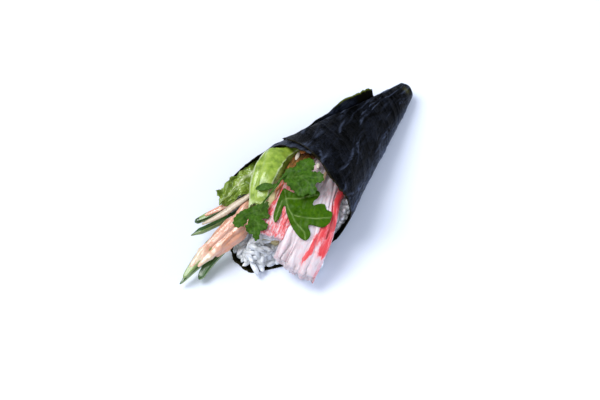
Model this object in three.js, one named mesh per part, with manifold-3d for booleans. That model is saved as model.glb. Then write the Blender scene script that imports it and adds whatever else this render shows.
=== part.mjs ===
// A temaki hand roll: a cone of rolled seaweed on its side, filled with rice, crab sticks, cucumber,
// avocado, lettuce and herbs. Millimetres, +Z up. The closed tip points along +X, the open mouth faces
// -X, and the seaweed rests on a flat strip along its underside at z = 0, with the origin on that strip.

import * as THREE from 'three';
import { mergeVertices } from 'three/addons/utils/BufferGeometryUtils.js';
import Module from 'manifold-3d';

const wasm = await Module();
wasm.setup();

const degree = Math.PI / 180;
const fullTurn = 360;
const gap = 0.3; // air left between pieces that touch
const weld = 1e-4; // corners closer than this are one corner

// The cone. Lengths are counted from the tip towards the mouth.
const cone = {
  tipX: 68,
  centreY: 1,
  tipHalfWidth: 4.6,
  widthGrowth: 0.222, // half width gained per millimetre of length
  tipHeight: 10,
  heightGrowth: 0.325,
  sag: 1.1, // how far the underside is pressed into its flat strip
  shoulder: { angle: 50, spread: 30, rise: 1.8 }, // fuller on its upper +Y side
};

// The rolled sheet. It starts over the top, runs down the +Y side, under, up the -Y side and over the
// top again. Turns are in degrees from its hidden edge.
const sheet = {
  thickness: 0.6,
  startAngle: 100,
  turnAtTip: 392,
  turnAtMouth: 410,
  tuck: 1.5, // how deep the hidden edge lies under the outer lap
  tuckTurn: 110,
  lift: 1.1, // how far the outer lap stands up at the mouth
  liftTurn: 60,
  crinkle: 0.22,
  waves: [{ perTurn: 7, slope: 0.11, phase: 0 }, { perTurn: 4, slope: -0.17, phase: 1 }],
  around: 52,
  along: 11,
  tipCurl: 2.5, // length over which the tip rounds inwards
  tipSqueeze: 0.3,
};

// Turn and length of the mouth's edge: short over the top, long in the lip underneath.
const mouthEdge = [
  [0, 88], [60, 92], [95, 110], [130, 119], [170, 136], [187, 137],
  [205, 126], [240, 108], [280, 97], [335, 97], [350, 93], [370, 89], [410, 87],
];

// The sheet's free corner, standing up along the +Y side: length from the tip and height there.
const cornerFlap = {
  angle: 30, across: 14, up: 3, leanIn: 0.12,
  heights: [[20, 0.8], [23, 6], [28, 9.5], [36, 9.5], [52, 5], [76, 0.8]],
  crowding: 0.7, // below 1, its columns stand closer towards the tip
  ragged: { depth: 0.1, pitch: 1.3 },
};

// The coat that trims the fillings, well outside the sheet and past the tip.
const trim = { outside: 12, pastTip: 8, around: 72 };

const riceHeap = {
  back: 14, // length at which the rice starts behind the tip
  heart: 112, // length to which the middle of its face reaches
  around: 36,
  rings: 18,
  bump: 0.7,
  insetBelow: 2, // how far its face lies inside the mouth's edge
  insetAbove: 12,
  wall: 0.6, // share of the rings that lie against the seaweed
  roundedBack: 0.2,
  heartHeight: 0.45,
};

const crabLong = {
  route: [[8, -3, 19], [-28, -8, 25.5], [-48, -14, 18.5], [-61, -17.3, 12]],
  side: [0.1, -1, -0.35],
  halfWidth: [8, 10.2, 10.4, 10.4],
  halfHeight: [4, 5, 5, 4],
  strands: 5,
  along: 8,
  slant: 3, // how much longer the -Y side of the end is
};

const crabShort = {
  route: [[2, 9, 20], [-22, 6, 28], [-42, 2.5, 27], [-57, -1, 18.5]],
  side: [0.1, -1, -0.1],
  halfWidth: [5, 6.5, 7.5, 7],
  halfHeight: [3, 3.8, 4, 3.2],
  strands: 5,
  along: 8,
  slant: -1,
};

const avocado = {
  route: [[0, 4, 13], [-25, 6, 15], [-45, 4, 15.5], [-59, 0, 10.5]],
  side: [0.1, -1, 0.2],
  halfWidth: [3.5, 5, 6, 5],
  halfHeight: [2, 3, 3.2, 2.6],
};

const baton = { width: 3.5, height: 3.2, skin: 0.5, taperFrom: 0.93, taper: 0.62, slant: 3 };
const cucumbers = [
  { route: [[-32, 11, 22], [-50, 24, 16.7], [-66, 36, 11.5]], side: [0.6, 1, 0] },
  { route: [[-45, 18.4, 13.4], [-59, 26.8, 10.8], [-71, 34, 9]], side: [0.6, 1, 0] },
  { route: [[-8, 10, 11], [-50, 14, 11.5], [-93, 25.5, 3.4]], side: [0, 1, 0] },
  { route: [[-10, 5, 8.5], [-50, 9.3, 10.5], [-87, 19.5, 3.8]], side: [0, 1, 0.1] },
  { route: [[-12, 12, 15.5], [-50, 15, 16], [-86, 26.8, 8.3]], side: [0, 1, 0] },
];

// What every bundle of strands has: grooves between strands and a ragged end in the mouth.
const strand = { groove: 0.06, ragged: 0.7, raggedFrom: 0.85 };

const lettuceRoll = {
  route: [[0, 9, 23], [-22, 15, 29.5], [-39, 16, 29], [-53, 13, 22.5]],
  side: [0.1, 1, 0.1],
  halfWidth: [4, 6.4, 6.4, 3.6],
  halfHeight: [3, 4.8, 5, 2.2],
  strands: 4,
  along: 8,
  slant: 0,
};

const lettuceFrill = {
  root: [-16, 19, 27],
  tip: [-57, 28.5, 19.5],
  side: [0.35, 0.93, 0.1],
  halfWidth: 9.5,
  thickness: 1.2,
  ruffle: 1.6,
  ruffles: 15,
  arch: 3,
  rootWidth: 0.35,
};

const sauce = {
  centre: [-69, 18.3, 13],
  along: [1, -0.28, 0.42],
  reach: 14.5,
  halfWidth: 8,
  halfHeight: 5,
  lowerEnd: 0.8, // how much slimmer it is where it has run down
};

const leafThickness = 0.6;
const leafDown = new THREE.Vector3(0.25, 0.1, -1); // the way the loose leaves' undersides face
const leafStart = 60; // height from which the loose leaves are lowered on to the heap
const corianderTop = { centre: [-28, 1, leafStart], tipDirection: [-0.4, -1, -0.1], size: 10.5, cup: 0.012 };
const corianderLow = { centre: [-57, 11, leafStart], tipDirection: [-1, -0.5, -0.5], size: 11, cup: 0.01 };
const rocket = { centre: [-46, -9.5, leafStart], tipDirection: [0.16, -1, -0.25], size: 13, cup: 0.006 };

// ---- shared geometry -------------------------------------------------------------------------------

// Bends a three.js geometry: every corner goes where map sends it.
function warped(geometry, map) {
  geometry.deleteAttribute('normal');
  geometry.deleteAttribute('uv');
  const welded = mergeVertices(geometry, weld);
  const corners = welded.attributes.position;
  const corner = new THREE.Vector3();
  for (let i = 0; i < corners.count; i++) {
    corner.fromBufferAttribute(corners, i);
    const moved = map(corner.x, corner.y, corner.z);
    corners.setXYZ(i, moved.x, moved.y, moved.z);
  }
  return welded;
}

function solidOf(geometry) {
  return new wasm.Manifold(new wasm.Mesh({
    numProp: 3,
    vertProperties: geometry.attributes.position.array,
    triVerts: new Uint32Array(geometry.index.array),
  }));
}

function geometryOf(solid) {
  const { vertProperties, triVerts } = solid.getMesh();
  const geometry = new THREE.BufferGeometry();
  geometry.setAttribute('position', new THREE.BufferAttribute(vertProperties, 3));
  geometry.setIndex(new THREE.BufferAttribute(triVerts, 1));
  geometry.computeVertexNormals();
  return geometry;
}

// The largest body of a solid, without slivers beside it or pockets sealed in it.
function largestBody(solid) {
  return solid.decompose().reduce((best, body) => (body.volume() > best.volume() ? body : best));
}

function cut(solid, tools) {
  return largestBody(tools.reduce((left, tool) => left.subtract(tool), solid));
}

// Value at x of a line through [x, value] pairs.
function profile(pairs, x) {
  const last = pairs.findIndex((pair) => pair[0] >= x);
  if (last < 1) {
    return pairs[last < 0 ? pairs.length - 1 : 0][1];
  }
  const [x0, y0] = pairs[last - 1];
  const [x1, y1] = pairs[last];
  return THREE.MathUtils.mapLinear(x, x0, x1, y0, y1);
}

// Value at t from 0 to 1 of evenly spaced values.
function spread(values, t) {
  return profile(values.map((value, i) => [i / (values.length - 1), value]), t);
}

// Three directions at right angles, along x and across y, with z completing them.
function frameFrom(along, across) {
  const x = new THREE.Vector3(...along).normalize();
  const z = new THREE.Vector3().crossVectors(x, new THREE.Vector3(...across)).normalize();
  const y = new THREE.Vector3().crossVectors(z, x);
  return { x, y, z };
}

// A piece swept along a route of a few points. section places a point of the blank's side across, up
// and along from the route.
function swept(geometry, piece, section) {
  const curve = new THREE.CatmullRomCurve3(piece.route.map((point) => new THREE.Vector3(...point)));
  return warped(geometry, (x, y, z) => {
    const t = y + 0.5;
    const at = curve.getPointAt(t);
    const axes = frameFrom(curve.getTangentAt(t).toArray(), piece.side);
    const { across, up, along } = section(t, x, z);
    return at.addScaledVector(axes.y, across).addScaledVector(axes.z, -up).addScaledVector(axes.x, along);
  });
}

// ---- seaweed ---------------------------------------------------------------------------------------

// Point on the cone at an angle from +Y (90 is the top), a length from the tip and an outward offset.
function conePoint(angle, length, offset, squeeze = 1) {
  const halfWidth = (cone.tipHalfWidth + cone.widthGrowth * length) * squeeze;
  const halfHeight = (cone.tipHeight + cone.heightGrowth * length) / 2;
  const rise = Math.sin(angle * degree);
  const press = rise < 0 ? cone.sag : 1;
  const away = (((angle - cone.shoulder.angle) % fullTurn) + fullTurn + 180) % fullTurn - 180;
  const fuller = cone.shoulder.rise * Math.exp(-((away / cone.shoulder.spread) ** 2));
  const out = offset + fuller * THREE.MathUtils.smoothstep(length, 5, 60);
  const z = halfHeight + (halfHeight * squeeze + out) * rise * press;
  const y = cone.centreY + (halfWidth + out) * Math.cos(angle * degree);
  return new THREE.Vector3(cone.tipX - length, y, Math.max(z, -offset));
}

// Long shallow crinkles, which die away where the sheet is pressed flat.
function crinkle(angle, length) {
  const round = angle * degree;
  const free = THREE.MathUtils.smoothstep(Math.sin(round), -0.85, -0.3);
  const height = sheet.waves.reduce((sum, { perTurn, slope, phase }) => (
    sum + Math.sin(round * perTurn + length * slope + phase)
  ), 0);
  return sheet.crinkle * free * height;
}

// How far the sheet lies outside the plain cone: its hidden edge is tucked in, its lap stands up.
function lapOffset(turn, share, lastTurn) {
  const tucked = 1 - THREE.MathUtils.smoothstep(turn, 0, sheet.tuckTurn);
  const lifted = THREE.MathUtils.smoothstep(turn, lastTurn - sheet.liftTurn, lastTurn);
  return sheet.lift * lifted * share ** 3 - sheet.tuck * tucked;
}

// Point of the rolled sheet: turn from its hidden edge, share of the way to the mouth, and an offset
// from its outer face.
function sheetPoint(turn, share, lastTurn, offset) {
  const length = share * profile(mouthEdge, turn);
  const squeeze = 1 - sheet.tipSqueeze * (1 - THREE.MathUtils.smoothstep(length, 0, sheet.tipCurl));
  const angle = sheet.startAngle - turn;
  const out = offset + lapOffset(turn, share, lastTurn) + crinkle(angle, length) * share;
  return conePoint(angle, length, out, squeeze);
}

function seaweed() {
  const blank = new THREE.BoxGeometry(1, 1, 1, sheet.around, sheet.along, 1);
  return solidOf(warped(blank, (x, y, z) => {
    const share = y + 0.5;
    const lastTurn = THREE.MathUtils.lerp(sheet.turnAtTip, sheet.turnAtMouth, share);
    return sheetPoint((x + 0.5) * lastTurn, share, lastTurn, z > 0 ? 0 : -sheet.thickness);
  }));
}

// The corner of the sheet that stands up beside the lap, rooted in the side of the cone.
function corner() {
  const lengths = cornerFlap.heights.map((pair) => pair[0]);
  const turn = sheet.startAngle - cornerFlap.angle;
  const edge = profile(mouthEdge, turn);
  const blank = new THREE.BoxGeometry(1, 1, 1, cornerFlap.across, cornerFlap.up, 1);
  return solidOf(warped(blank, (x, y, z) => {
    const length = THREE.MathUtils.lerp(lengths.at(-1), lengths[0], (x + 0.5) ** cornerFlap.crowding);
    const root = sheetPoint(turn, length / edge, sheet.turnAtMouth, -sheet.thickness / 2);
    const ragged = 1 + cornerFlap.ragged.depth * Math.sin(length * cornerFlap.ragged.pitch);
    const rise = (y + 0.5) * profile(cornerFlap.heights, length) * ragged;
    return root.add(new THREE.Vector3(0, -cornerFlap.leanIn * rise - z * sheet.thickness, rise));
  }));
}

// All that the fillings must stay out of: a thick coat round the cone's hollow, as long as the sheet.
function coat() {
  const ring = 2;
  const blank = new THREE.TorusGeometry(ring, 1, 4, trim.around);
  return solidOf(warped(blank, (x, y, z) => {
    const turn = (Math.atan2(y, x) / degree + fullTurn) % fullTurn;
    const reach = Math.hypot(x, y) - ring;
    const inner = reach < -0.5 || (Math.abs(reach) < 0.5 && z < 0);
    const atMouth = reach < -0.5 || (Math.abs(reach) < 0.5 && z > 0);
    const edge = profile(mouthEdge, turn) + 2 * gap;
    const offset = inner ? -sheet.thickness - 2 * gap + lapOffset(turn, 1, fullTurn * 2) : trim.outside;
    return conePoint(sheet.startAngle - turn, atMouth ? edge : -trim.pastTip, offset);
  }));
}

// ---- fillings --------------------------------------------------------------------------------------

// A flaked fish stick: a flattened bundle of strands with a ragged end.
function bundle(piece, grow = 0) {
  const blank = new THREE.CylinderGeometry(1, 1, 1, piece.strands * 4, piece.along);
  return solidOf(swept(blank, piece, (t, x, z) => {
    const round = Math.atan2(z, x);
    const groove = 1 - strand.groove * Math.abs(Math.sin(round * piece.strands * 0.5));
    const ends = t > 0 && t < 1 ? 0 : 1;
    const ragged = Math.sin(round * 5) + Math.sin(round * 3 + 1);
    const mouthEnd = THREE.MathUtils.smoothstep(t, strand.raggedFrom, 1);
    const fray = (ragged * strand.ragged * Math.hypot(x, z) + piece.slant * x) * mouthEnd;
    return {
      across: x * (spread(piece.halfWidth, t) * groove + grow),
      up: z * (spread(piece.halfHeight, t) * groove + grow),
      along: fray + (t - 0.5) * 2 * grow * ends,
    };
  }));
}

// A cucumber baton with a low ridge of skin along one face and a slanting, narrower end.
function cucumberStick(piece, grow = 0) {
  const blank = new THREE.BoxGeometry(1, 1, 1, 2, 4, 1);
  return solidOf(swept(blank, piece, (t, x, z) => {
    const ends = t > 0 && t < 1 ? 0 : 1;
    const ridge = x === 0 && z > 0 ? baton.skin : 0;
    const taper = t > baton.taperFrom ? baton.taper : 1;
    return {
      across: x * (baton.width * taper + 2 * grow),
      up: z * (baton.height * taper + 2 * grow) + ridge * taper,
      along: (t - 0.5) * 2 * grow * ends + (t === 1 ? x * baton.slant : 0),
    };
  }));
}

function avocadoSlice(grow = 0) {
  const blank = new THREE.CylinderGeometry(1, 1, 1, 12, 7);
  return solidOf(swept(blank, avocado, (t, x, z) => {
    const ends = t > 0 && t < 1 ? 0 : 1;
    return {
      across: x * (spread(avocado.halfWidth, t) + grow),
      up: z * (spread(avocado.halfHeight, t) + grow),
      along: (t - 0.5) * 2 * grow * ends,
    };
  }));
}

// A ruffled leaf: a sheet whose sides wave more and more towards its tip.
function frill(grow = 0) {
  const root = new THREE.Vector3(...lettuceFrill.root);
  const tip = new THREE.Vector3(...lettuceFrill.tip);
  const axes = frameFrom(tip.clone().sub(root).toArray(), lettuceFrill.side);
  const reach = root.distanceTo(tip);
  const blank = new THREE.BoxGeometry(1, 1, 1, 14, 8, 1);
  return solidOf(warped(blank, (x, y, z) => {
    const share = x + 0.5;
    const swell = Math.sin(Math.PI * (0.15 + 0.8 * share));
    const width = lettuceFrill.halfWidth * THREE.MathUtils.lerp(lettuceFrill.rootWidth, 1, swell);
    const across = y * 2 * (width + grow);
    const wave = Math.sin(share * lettuceFrill.ruffles + y * 3) * Math.abs(y) * 2 * lettuceFrill.ruffle * share;
    const arch = lettuceFrill.arch * Math.sin(share * Math.PI);
    const up = wave + arch + z * (lettuceFrill.thickness + 2 * grow);
    const along = share * reach + Math.sin(y * 9) * 2 * share + (share - 0.5) * 2 * grow;
    return root.clone().addScaledVector(axes.x, along).addScaledVector(axes.y, across)
      .addScaledVector(axes.z, up);
  }));
}

function sauceBlob() {
  const axes = frameFrom(sauce.along, [0, 1, 0]);
  const centre = new THREE.Vector3(...sauce.centre);
  return solidOf(warped(new THREE.SphereGeometry(1, 16, 9), (x, y, z) => {
    const lump = 1 + 0.1 * Math.sin(x * 7 + y * 3) + 0.07 * Math.sin(y * 9 - z * 5);
    const taper = x < 0 ? sauce.lowerEnd : 1;
    return centre.clone().addScaledVector(axes.x, x * sauce.reach)
      .addScaledVector(axes.y, y * sauce.halfWidth * lump * taper)
      .addScaledVector(axes.z, z * sauce.halfHeight * lump * taper);
  }));
}

// The heap of rice fills the cone from near the tip and slopes out of the mouth in an uneven face.
function rice() {
  const blank = new THREE.SphereGeometry(1, riceHeap.around, riceHeap.rings);
  return solidOf(warped(blank, (x, y, z) => {
    const share = 1 - Math.acos(THREE.MathUtils.clamp(y, -1, 1)) / Math.PI;
    const turn = (Math.atan2(-z, x) / degree + fullTurn) % fullTurn;
    const angle = sheet.startAngle - turn;
    const high = THREE.MathUtils.smoothstep(Math.sin(angle * degree), -0.3, 0.6);
    const inset = THREE.MathUtils.lerp(riceHeap.insetBelow, riceHeap.insetAbove, high);
    const edge = profile(mouthEdge, turn) - inset;
    const along = Math.min(share / riceHeap.wall, 1);
    const inward = THREE.MathUtils.clamp((share - riceHeap.wall) / (1 - riceHeap.wall), 0, 1);
    const outline = Math.sqrt(Math.min(along / riceHeap.roundedBack, 1));
    const length = THREE.MathUtils.lerp(riceHeap.back, edge, along);
    const bumps = Math.sin(turn * 0.21 + inward * 19) + Math.sin(turn * 0.13 - inward * 27 + 2);
    const offset = -sheet.thickness - 2 * gap + lapOffset(turn, 1, fullTurn * 2);
    const rim = conePoint(angle, length, offset);
    const heart = conePoint(90, length, 0).multiply(new THREE.Vector3(1, 1, riceHeap.heartHeight));
    heart.x = cone.tipX - THREE.MathUtils.lerp(length, riceHeap.heart, inward);
    const inside = rim.lerp(heart, 1 - outline * (1 - inward));
    inside.x -= riceHeap.bump * bumps * Math.min(inward * 4, 1);
    return inside;
  }));
}

// A flat lobed leaf. reach gives its outline at an angle from its tip.
function leaf(piece, reach) {
  const across = new THREE.Vector3(...piece.tipDirection).cross(leafDown);
  const axes = frameFrom(piece.tipDirection, across.toArray());
  const centre = new THREE.Vector3(...piece.centre);
  return solidOf(warped(new THREE.SphereGeometry(1, 28, 4), (x, y, z) => {
    const angle = Math.atan2(-z, x);
    const radius = Math.hypot(x, z) * reach(angle) * piece.size;
    const a = Math.cos(angle) * radius;
    const b = Math.sin(angle) * radius;
    const face = Math.abs(y) < weld ? 0 : Math.sign(y) * leafThickness / 2;
    const up = face - piece.cup * radius * radius;
    return centre.clone().addScaledVector(axes.x, a).addScaledVector(axes.y, b).addScaledVector(axes.z, up);
  }));
}

// How far a lobed outline reaches at an angle, from a round middle and lobes that stand out of it.
function lobed(angle, middle, lobes) {
  return lobes.reduce((reach, lobe) => {
    const away = angle - lobe.at * degree;
    const wrapped = Math.atan2(Math.sin(away), Math.cos(away));
    return reach + lobe.reach * Math.exp(-((wrapped / (lobe.width * degree)) ** 2));
  }, middle);
}

const corianderLobes = [
  { at: 0, width: 30, reach: 0.58 },
  { at: 68, width: 26, reach: 0.58 },
  { at: -68, width: 26, reach: 0.58 },
];

function corianderReach(angle) {
  const teeth = 0.06 * Math.cos(angle * 11);
  return lobed(angle, 0.38, corianderLobes) + teeth;
}

const rocketLobes = [
  { at: 0, width: 28, reach: 0.7 },
  { at: -95, width: 24, reach: 0.8 },
  { at: 60, width: 22, reach: 0.55 },
  { at: -150, width: 12, reach: 0.6 },
];

function rocketReach(angle) {
  return lobed(angle, 0.3, rocketLobes);
}

// Lowers a piece until it lies just above whatever is under it.
function lowered(solid, seats) {
  let settled = solid;
  let clear = Infinity;
  while (clear > gap * 1.1) {
    clear = Math.min(...seats.map((seat) => settled.minGap(seat, 40)));
    settled = settled.translate([0, 0, gap - clear]);
  }
  return settled;
}

// ---- assembly --------------------------------------------------------------------------------------

function material(color, roughness) {
  return new THREE.MeshStandardMaterial({ color, roughness, metalness: 0 });
}

const looks = {
  seaweed: material('#14171c', 0.45),
  rice: material('#e9ecf2', 0.4),
  crab: material('#eec9cf', 0.4),
  cucumber: material('#9bbf6a', 0.35),
  avocado: material('#c9b978', 0.5),
  lettuce: material('#a8c653', 0.45),
  herb: material('#3f7a26', 0.5),
  sauce: material('#f0b08c', 0.25),
};

const shell = coat();
const sticks = cucumbers.map((piece) => cut(cucumberStick(piece), [shell]));
const stickTools = cucumbers.map((piece) => cucumberStick(piece, gap));
const crabLongSolid = cut(bundle(crabLong), [shell, ...stickTools]);
const crabLongTool = bundle(crabLong, gap);
const crabShortSolid = cut(bundle(crabShort), [shell, ...stickTools, crabLongTool]);
const crabShortTool = bundle(crabShort, gap);
const avocadoSolid = cut(avocadoSlice(), [shell, ...stickTools, crabLongTool, crabShortTool]);
const avocadoTool = avocadoSlice(gap);
const firm = [...stickTools, crabLongTool, crabShortTool, avocadoTool];
const rollSolid = cut(bundle(lettuceRoll), [shell, ...firm]);
const rollTool = bundle(lettuceRoll, gap);
const frillSolid = cut(frill(), [shell, ...firm, rollTool]);
const frillTool = frill(gap);
const leafy = [rollTool, frillTool];
const sauceSolid = cut(sauceBlob(), [shell, ...firm, ...leafy]);
const riceSolid = cut(rice(), [...firm, ...leafy, sauceBlob()]);
const wrap = largestBody(seaweed().add(corner()));

const middle = [crabLongSolid, crabShortSolid, rollSolid];
const rocketSolid = lowered(leaf(rocket, rocketReach), [...middle, wrap]);
const corianderTopSolid = lowered(leaf(corianderTop, corianderReach), [...middle, wrap, rocketSolid]);
const corianderLowSolid = lowered(leaf(corianderLow, corianderReach), [...middle, avocadoSolid, sauceSolid]);

const handRoll = new THREE.Group();

function addPiece(name, solid, look) {
  const mesh = new THREE.Mesh(geometryOf(solid), look);
  mesh.name = name;
  handRoll.add(mesh);
}

addPiece('nori', wrap, looks.seaweed);
addPiece('rice', riceSolid, looks.rice);
addPiece('crab_stick_long', crabLongSolid, looks.crab);
addPiece('crab_stick_short', crabShortSolid, looks.crab);
addPiece('avocado_slice', avocadoSolid, looks.avocado);
addPiece('lettuce_roll', rollSolid, looks.lettuce);
addPiece('lettuce_frill', frillSolid, looks.lettuce);
addPiece('sauce', sauceSolid, looks.sauce);
sticks.forEach((solid, i) => addPiece(`cucumber_${i + 1}`, solid, looks.cucumber));
addPiece('rocket_leaf', rocketSolid, looks.herb);
addPiece('coriander_leaf_upper', corianderTopSolid, looks.herb);
addPiece('coriander_leaf_lower', corianderLowSolid, looks.herb);

export default handRoll;
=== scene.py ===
import math
import random

import bmesh
import bpy
import numpy as np
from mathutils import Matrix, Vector
from mathutils.bvhtree import BVHTree
from mathutils.geometry import delaunay_2d_cdt


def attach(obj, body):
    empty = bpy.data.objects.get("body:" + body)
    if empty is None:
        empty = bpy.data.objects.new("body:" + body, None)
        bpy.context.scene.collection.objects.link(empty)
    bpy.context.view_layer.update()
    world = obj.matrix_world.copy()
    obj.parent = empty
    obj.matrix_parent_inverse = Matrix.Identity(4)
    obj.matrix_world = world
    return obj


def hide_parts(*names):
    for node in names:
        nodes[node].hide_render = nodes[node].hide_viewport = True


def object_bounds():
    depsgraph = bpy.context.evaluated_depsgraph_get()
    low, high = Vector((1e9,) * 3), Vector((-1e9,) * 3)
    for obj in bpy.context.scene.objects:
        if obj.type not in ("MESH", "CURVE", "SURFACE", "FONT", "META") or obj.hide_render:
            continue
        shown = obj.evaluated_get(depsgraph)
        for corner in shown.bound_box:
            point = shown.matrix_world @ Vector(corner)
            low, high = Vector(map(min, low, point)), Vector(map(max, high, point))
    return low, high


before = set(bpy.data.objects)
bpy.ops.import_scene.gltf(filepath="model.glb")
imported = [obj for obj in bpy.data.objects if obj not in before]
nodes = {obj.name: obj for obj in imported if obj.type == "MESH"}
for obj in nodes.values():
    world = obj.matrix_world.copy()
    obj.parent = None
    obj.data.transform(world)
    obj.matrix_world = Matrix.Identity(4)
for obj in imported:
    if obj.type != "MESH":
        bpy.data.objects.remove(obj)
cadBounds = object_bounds()

mm = 0.001  # the tables below are in millimetres, the scene is in metres
boxLow = np.array(cadBounds[0]) / mm
boxHigh = np.array(cadBounds[1]) / mm
boxMargin = 0.02  # how far inside the CAD's box every piece stays


def mixed(low, high, share):
    return low + (high - low) * share


def ease(x, low, high):
    share = np.clip((np.asarray(x, float) - low) / (high - low), 0, 1)
    return share * share * (3 - 2 * share)


def unit(v):
    v = np.asarray(v, float)
    return v / np.maximum(np.linalg.norm(v, axis=-1, keepdims=True), 1e-12)


def hashed(i, j, k, seed):  # a repeatable number from 0 to 1 for every cell
    n = (i * 374761393 + j * 668265263 + k * 2147483647 + seed * 974634777) & 0xffffffff
    n = ((n ^ (n >> 13)) * 1274126177) & 0xffffffff
    return ((n ^ (n >> 16)) & 0xffff) / 65535.0


def noise(x, y, z=0.0, seed=0):  # smooth value noise from -1 to 1
    x, y, z = np.broadcast_arrays(np.asarray(x, float), np.asarray(y, float), np.asarray(z, float))
    cell = [np.floor(v).astype(np.int64) for v in (x, y, z)]
    part = [v - c for v, c in zip((x, y, z), cell)]
    part = [p * p * (3 - 2 * p) for p in part]
    total = np.zeros(x.shape)
    for di in (0, 1):
        for dj in (0, 1):
            for dk in (0, 1):
                weight = abs(1 - di - part[0]) * abs(1 - dj - part[1]) * abs(1 - dk - part[2])
                total += weight * hashed(cell[0] + di, cell[1] + dj, cell[2] + dk, seed)
    return total * 2 - 1


def bentLine(a, b, c, d, t):  # the smooth line from b to c, with a before it and d after it
    cubic = 3 * b - a - 3 * c + d
    return 0.5 * (2 * b + (c - a) * t + (2 * a - 5 * b + 4 * c - d) * t ** 2 + cubic * t ** 3)


def smoothCurve(points, count):  # evenly spaced points and tangents on a curve through a few points
    p = np.array(points, float)
    p = np.vstack([2 * p[0] - p[1], p, 2 * p[-1] - p[-2]])
    t = np.linspace(0, 1, 60, endpoint=False)[:, None]
    dense = [bentLine(*p[i - 1:i + 3], t) for i in range(1, len(p) - 2)]
    dense = np.vstack(dense + [p[-2:-1]])
    step = np.r_[0, np.cumsum(np.linalg.norm(np.diff(dense, axis=0), axis=1))]
    at = np.linspace(0, step[-1], count)
    places = np.stack([np.interp(at, step, dense[:, k]) for k in range(dense.shape[1])], 1)
    return places, unit(np.gradient(places, axis=0))


def closedCurve(points, each):  # the smooth closed line through a ring of points
    p = np.array(points, float)
    t = np.linspace(0, 1, each, endpoint=False)[None, :, None]
    corners = [np.roll(p, 1 - k, axis=0)[:, None, :] for k in range(4)]
    return bentLine(*corners, t).reshape(-1, p.shape[1])


def spread(values, t):  # a few values spread evenly from 0 to 1
    return np.interp(t, np.linspace(0, 1, len(values)), values)


def stripe(across, centre, width):
    return np.exp(-((across - centre) / width) ** 2)


def circle(count):  # angles once round
    return np.linspace(0, 2 * math.pi, count, endpoint=False)


def squared(wave, power):  # a sine or cosine bent so that a circle turns into a rounded square
    return np.sign(wave) * np.abs(wave) ** power


def sheetFaces(rows, columns, wrap=False, first=0):  # quads over a grid of rows by columns
    last = columns if wrap else columns - 1
    i, j = np.meshgrid(np.arange(rows - 1), np.arange(last), indexing="ij")
    right = (j + 1) % columns
    here, below = i * columns, (i + 1) * columns
    quads = np.stack([here + j, below + j, below + right, here + right], -1)
    return (quads.reshape(-1, 4) + first).tolist()


def thickSheet(front, back):  # two grids of points closed along their rims
    rows, columns, _ = front.shape
    total = rows * columns
    faces = sheetFaces(rows, columns) + [face[::-1] for face in sheetFaces(rows, columns, first=total)]
    loop = [j for j in range(columns)] + [i * columns + columns - 1 for i in range(1, rows)]
    loop += [(rows - 1) * columns + j for j in range(columns - 2, -1, -1)]
    loop += [i * columns for i in range(rows - 2, 0, -1)]
    faces += [[a, b, b + total, a + total] for a, b in zip(loop, loop[1:] + loop[:1])]
    return np.vstack([front.reshape(-1, 3), back.reshape(-1, 3)]), faces


def bothSides(marks):  # one set of marks from the front's and the back's
    return {key: np.concatenate([side[key] for side in marks]) for key in marks[0]}


def addPiece(name, points, faces, material, stands=(), marks=None):
    mesh = bpy.data.meshes.new(name)
    inside = np.clip(np.asarray(points, float), boxLow + boxMargin, boxHigh - boxMargin)
    mesh.from_pydata((inside * mm).tolist(), [], faces)
    for key, values in (marks or {}).items():
        values = np.asarray(values, float)
        kind = "FLOAT_VECTOR" if values.ndim == 2 else "FLOAT"
        layer = mesh.attributes.new(key, kind, "POINT")
        layer.data.foreach_set("vector" if values.ndim == 2 else "value", values.ravel())
    mesh.polygons.foreach_set("use_smooth", [True] * len(mesh.polygons))
    mesh.update()
    piece = bpy.data.objects.new(name, mesh)
    bpy.context.scene.collection.objects.link(piece)
    mesh.materials.append(material)
    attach(piece, "root")
    if stands:
        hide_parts(*stands)
    return piece


def facingOut(piece):
    body = bmesh.new()
    body.from_mesh(piece.data)
    bmesh.ops.recalc_face_normals(body, faces=body.faces)
    body.to_mesh(piece.data)
    body.free()


class Bunch:  # many small shapes gathered into one mesh
    def __init__(self):
        self.points, self.faces, self.marks, self.count = [], [], {}, 0

    def add(self, points, faces, **marks):
        self.points.append(points)
        self.faces += [[corner + self.count for corner in face] for face in faces]
        for key, values in marks.items():
            self.marks.setdefault(key, []).append(np.broadcast_to(values, (len(points),)))
        self.count += len(points)

    def piece(self, name, material, slot, stands=()):
        marks = {key: np.concatenate(values) for key, values in self.marks.items()}
        return addPiece(name, np.vstack(self.points), self.faces, material, stands, marks)


def framed(route, side, count):  # a course with its up and across directions, across towards side
    places, tangent = smoothCurve(route, count)
    side = np.array(side, float)
    up = unit(np.cross(tangent, side))
    up *= np.sign(up[:, 2:3])
    across = unit(np.cross(up, tangent))
    across *= np.sign(across @ side)[:, None]
    return places, tangent, up, across


def swept(places, across, up, wide, tall):  # cross-sections set along a course
    return places[:, None, :] + across[:, None, :] * wide[..., None] + up[:, None, :] * tall[..., None]


def upright(tangent, lean=(0, 0, 1.0)):  # the side and up directions of a course
    side = unit(np.cross(tangent, np.array(lean)))
    return side, np.cross(side, tangent)


def capped(rings):  # closed tube from rings of points (rows, around, 3)
    rows, around, _ = rings.shape
    faces = sheetFaces(rows, around, wrap=True)
    points = np.vstack([rings.reshape(-1, 3), rings[0].mean(0), rings[-1].mean(0)])
    start, end = rows * around, rows * around + 1
    for j in range(around):
        after = (j + 1) % around
        faces.append([start, j, after])
        faces.append([end, (rows - 1) * around + after, (rows - 1) * around + j])
    return points, faces


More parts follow.
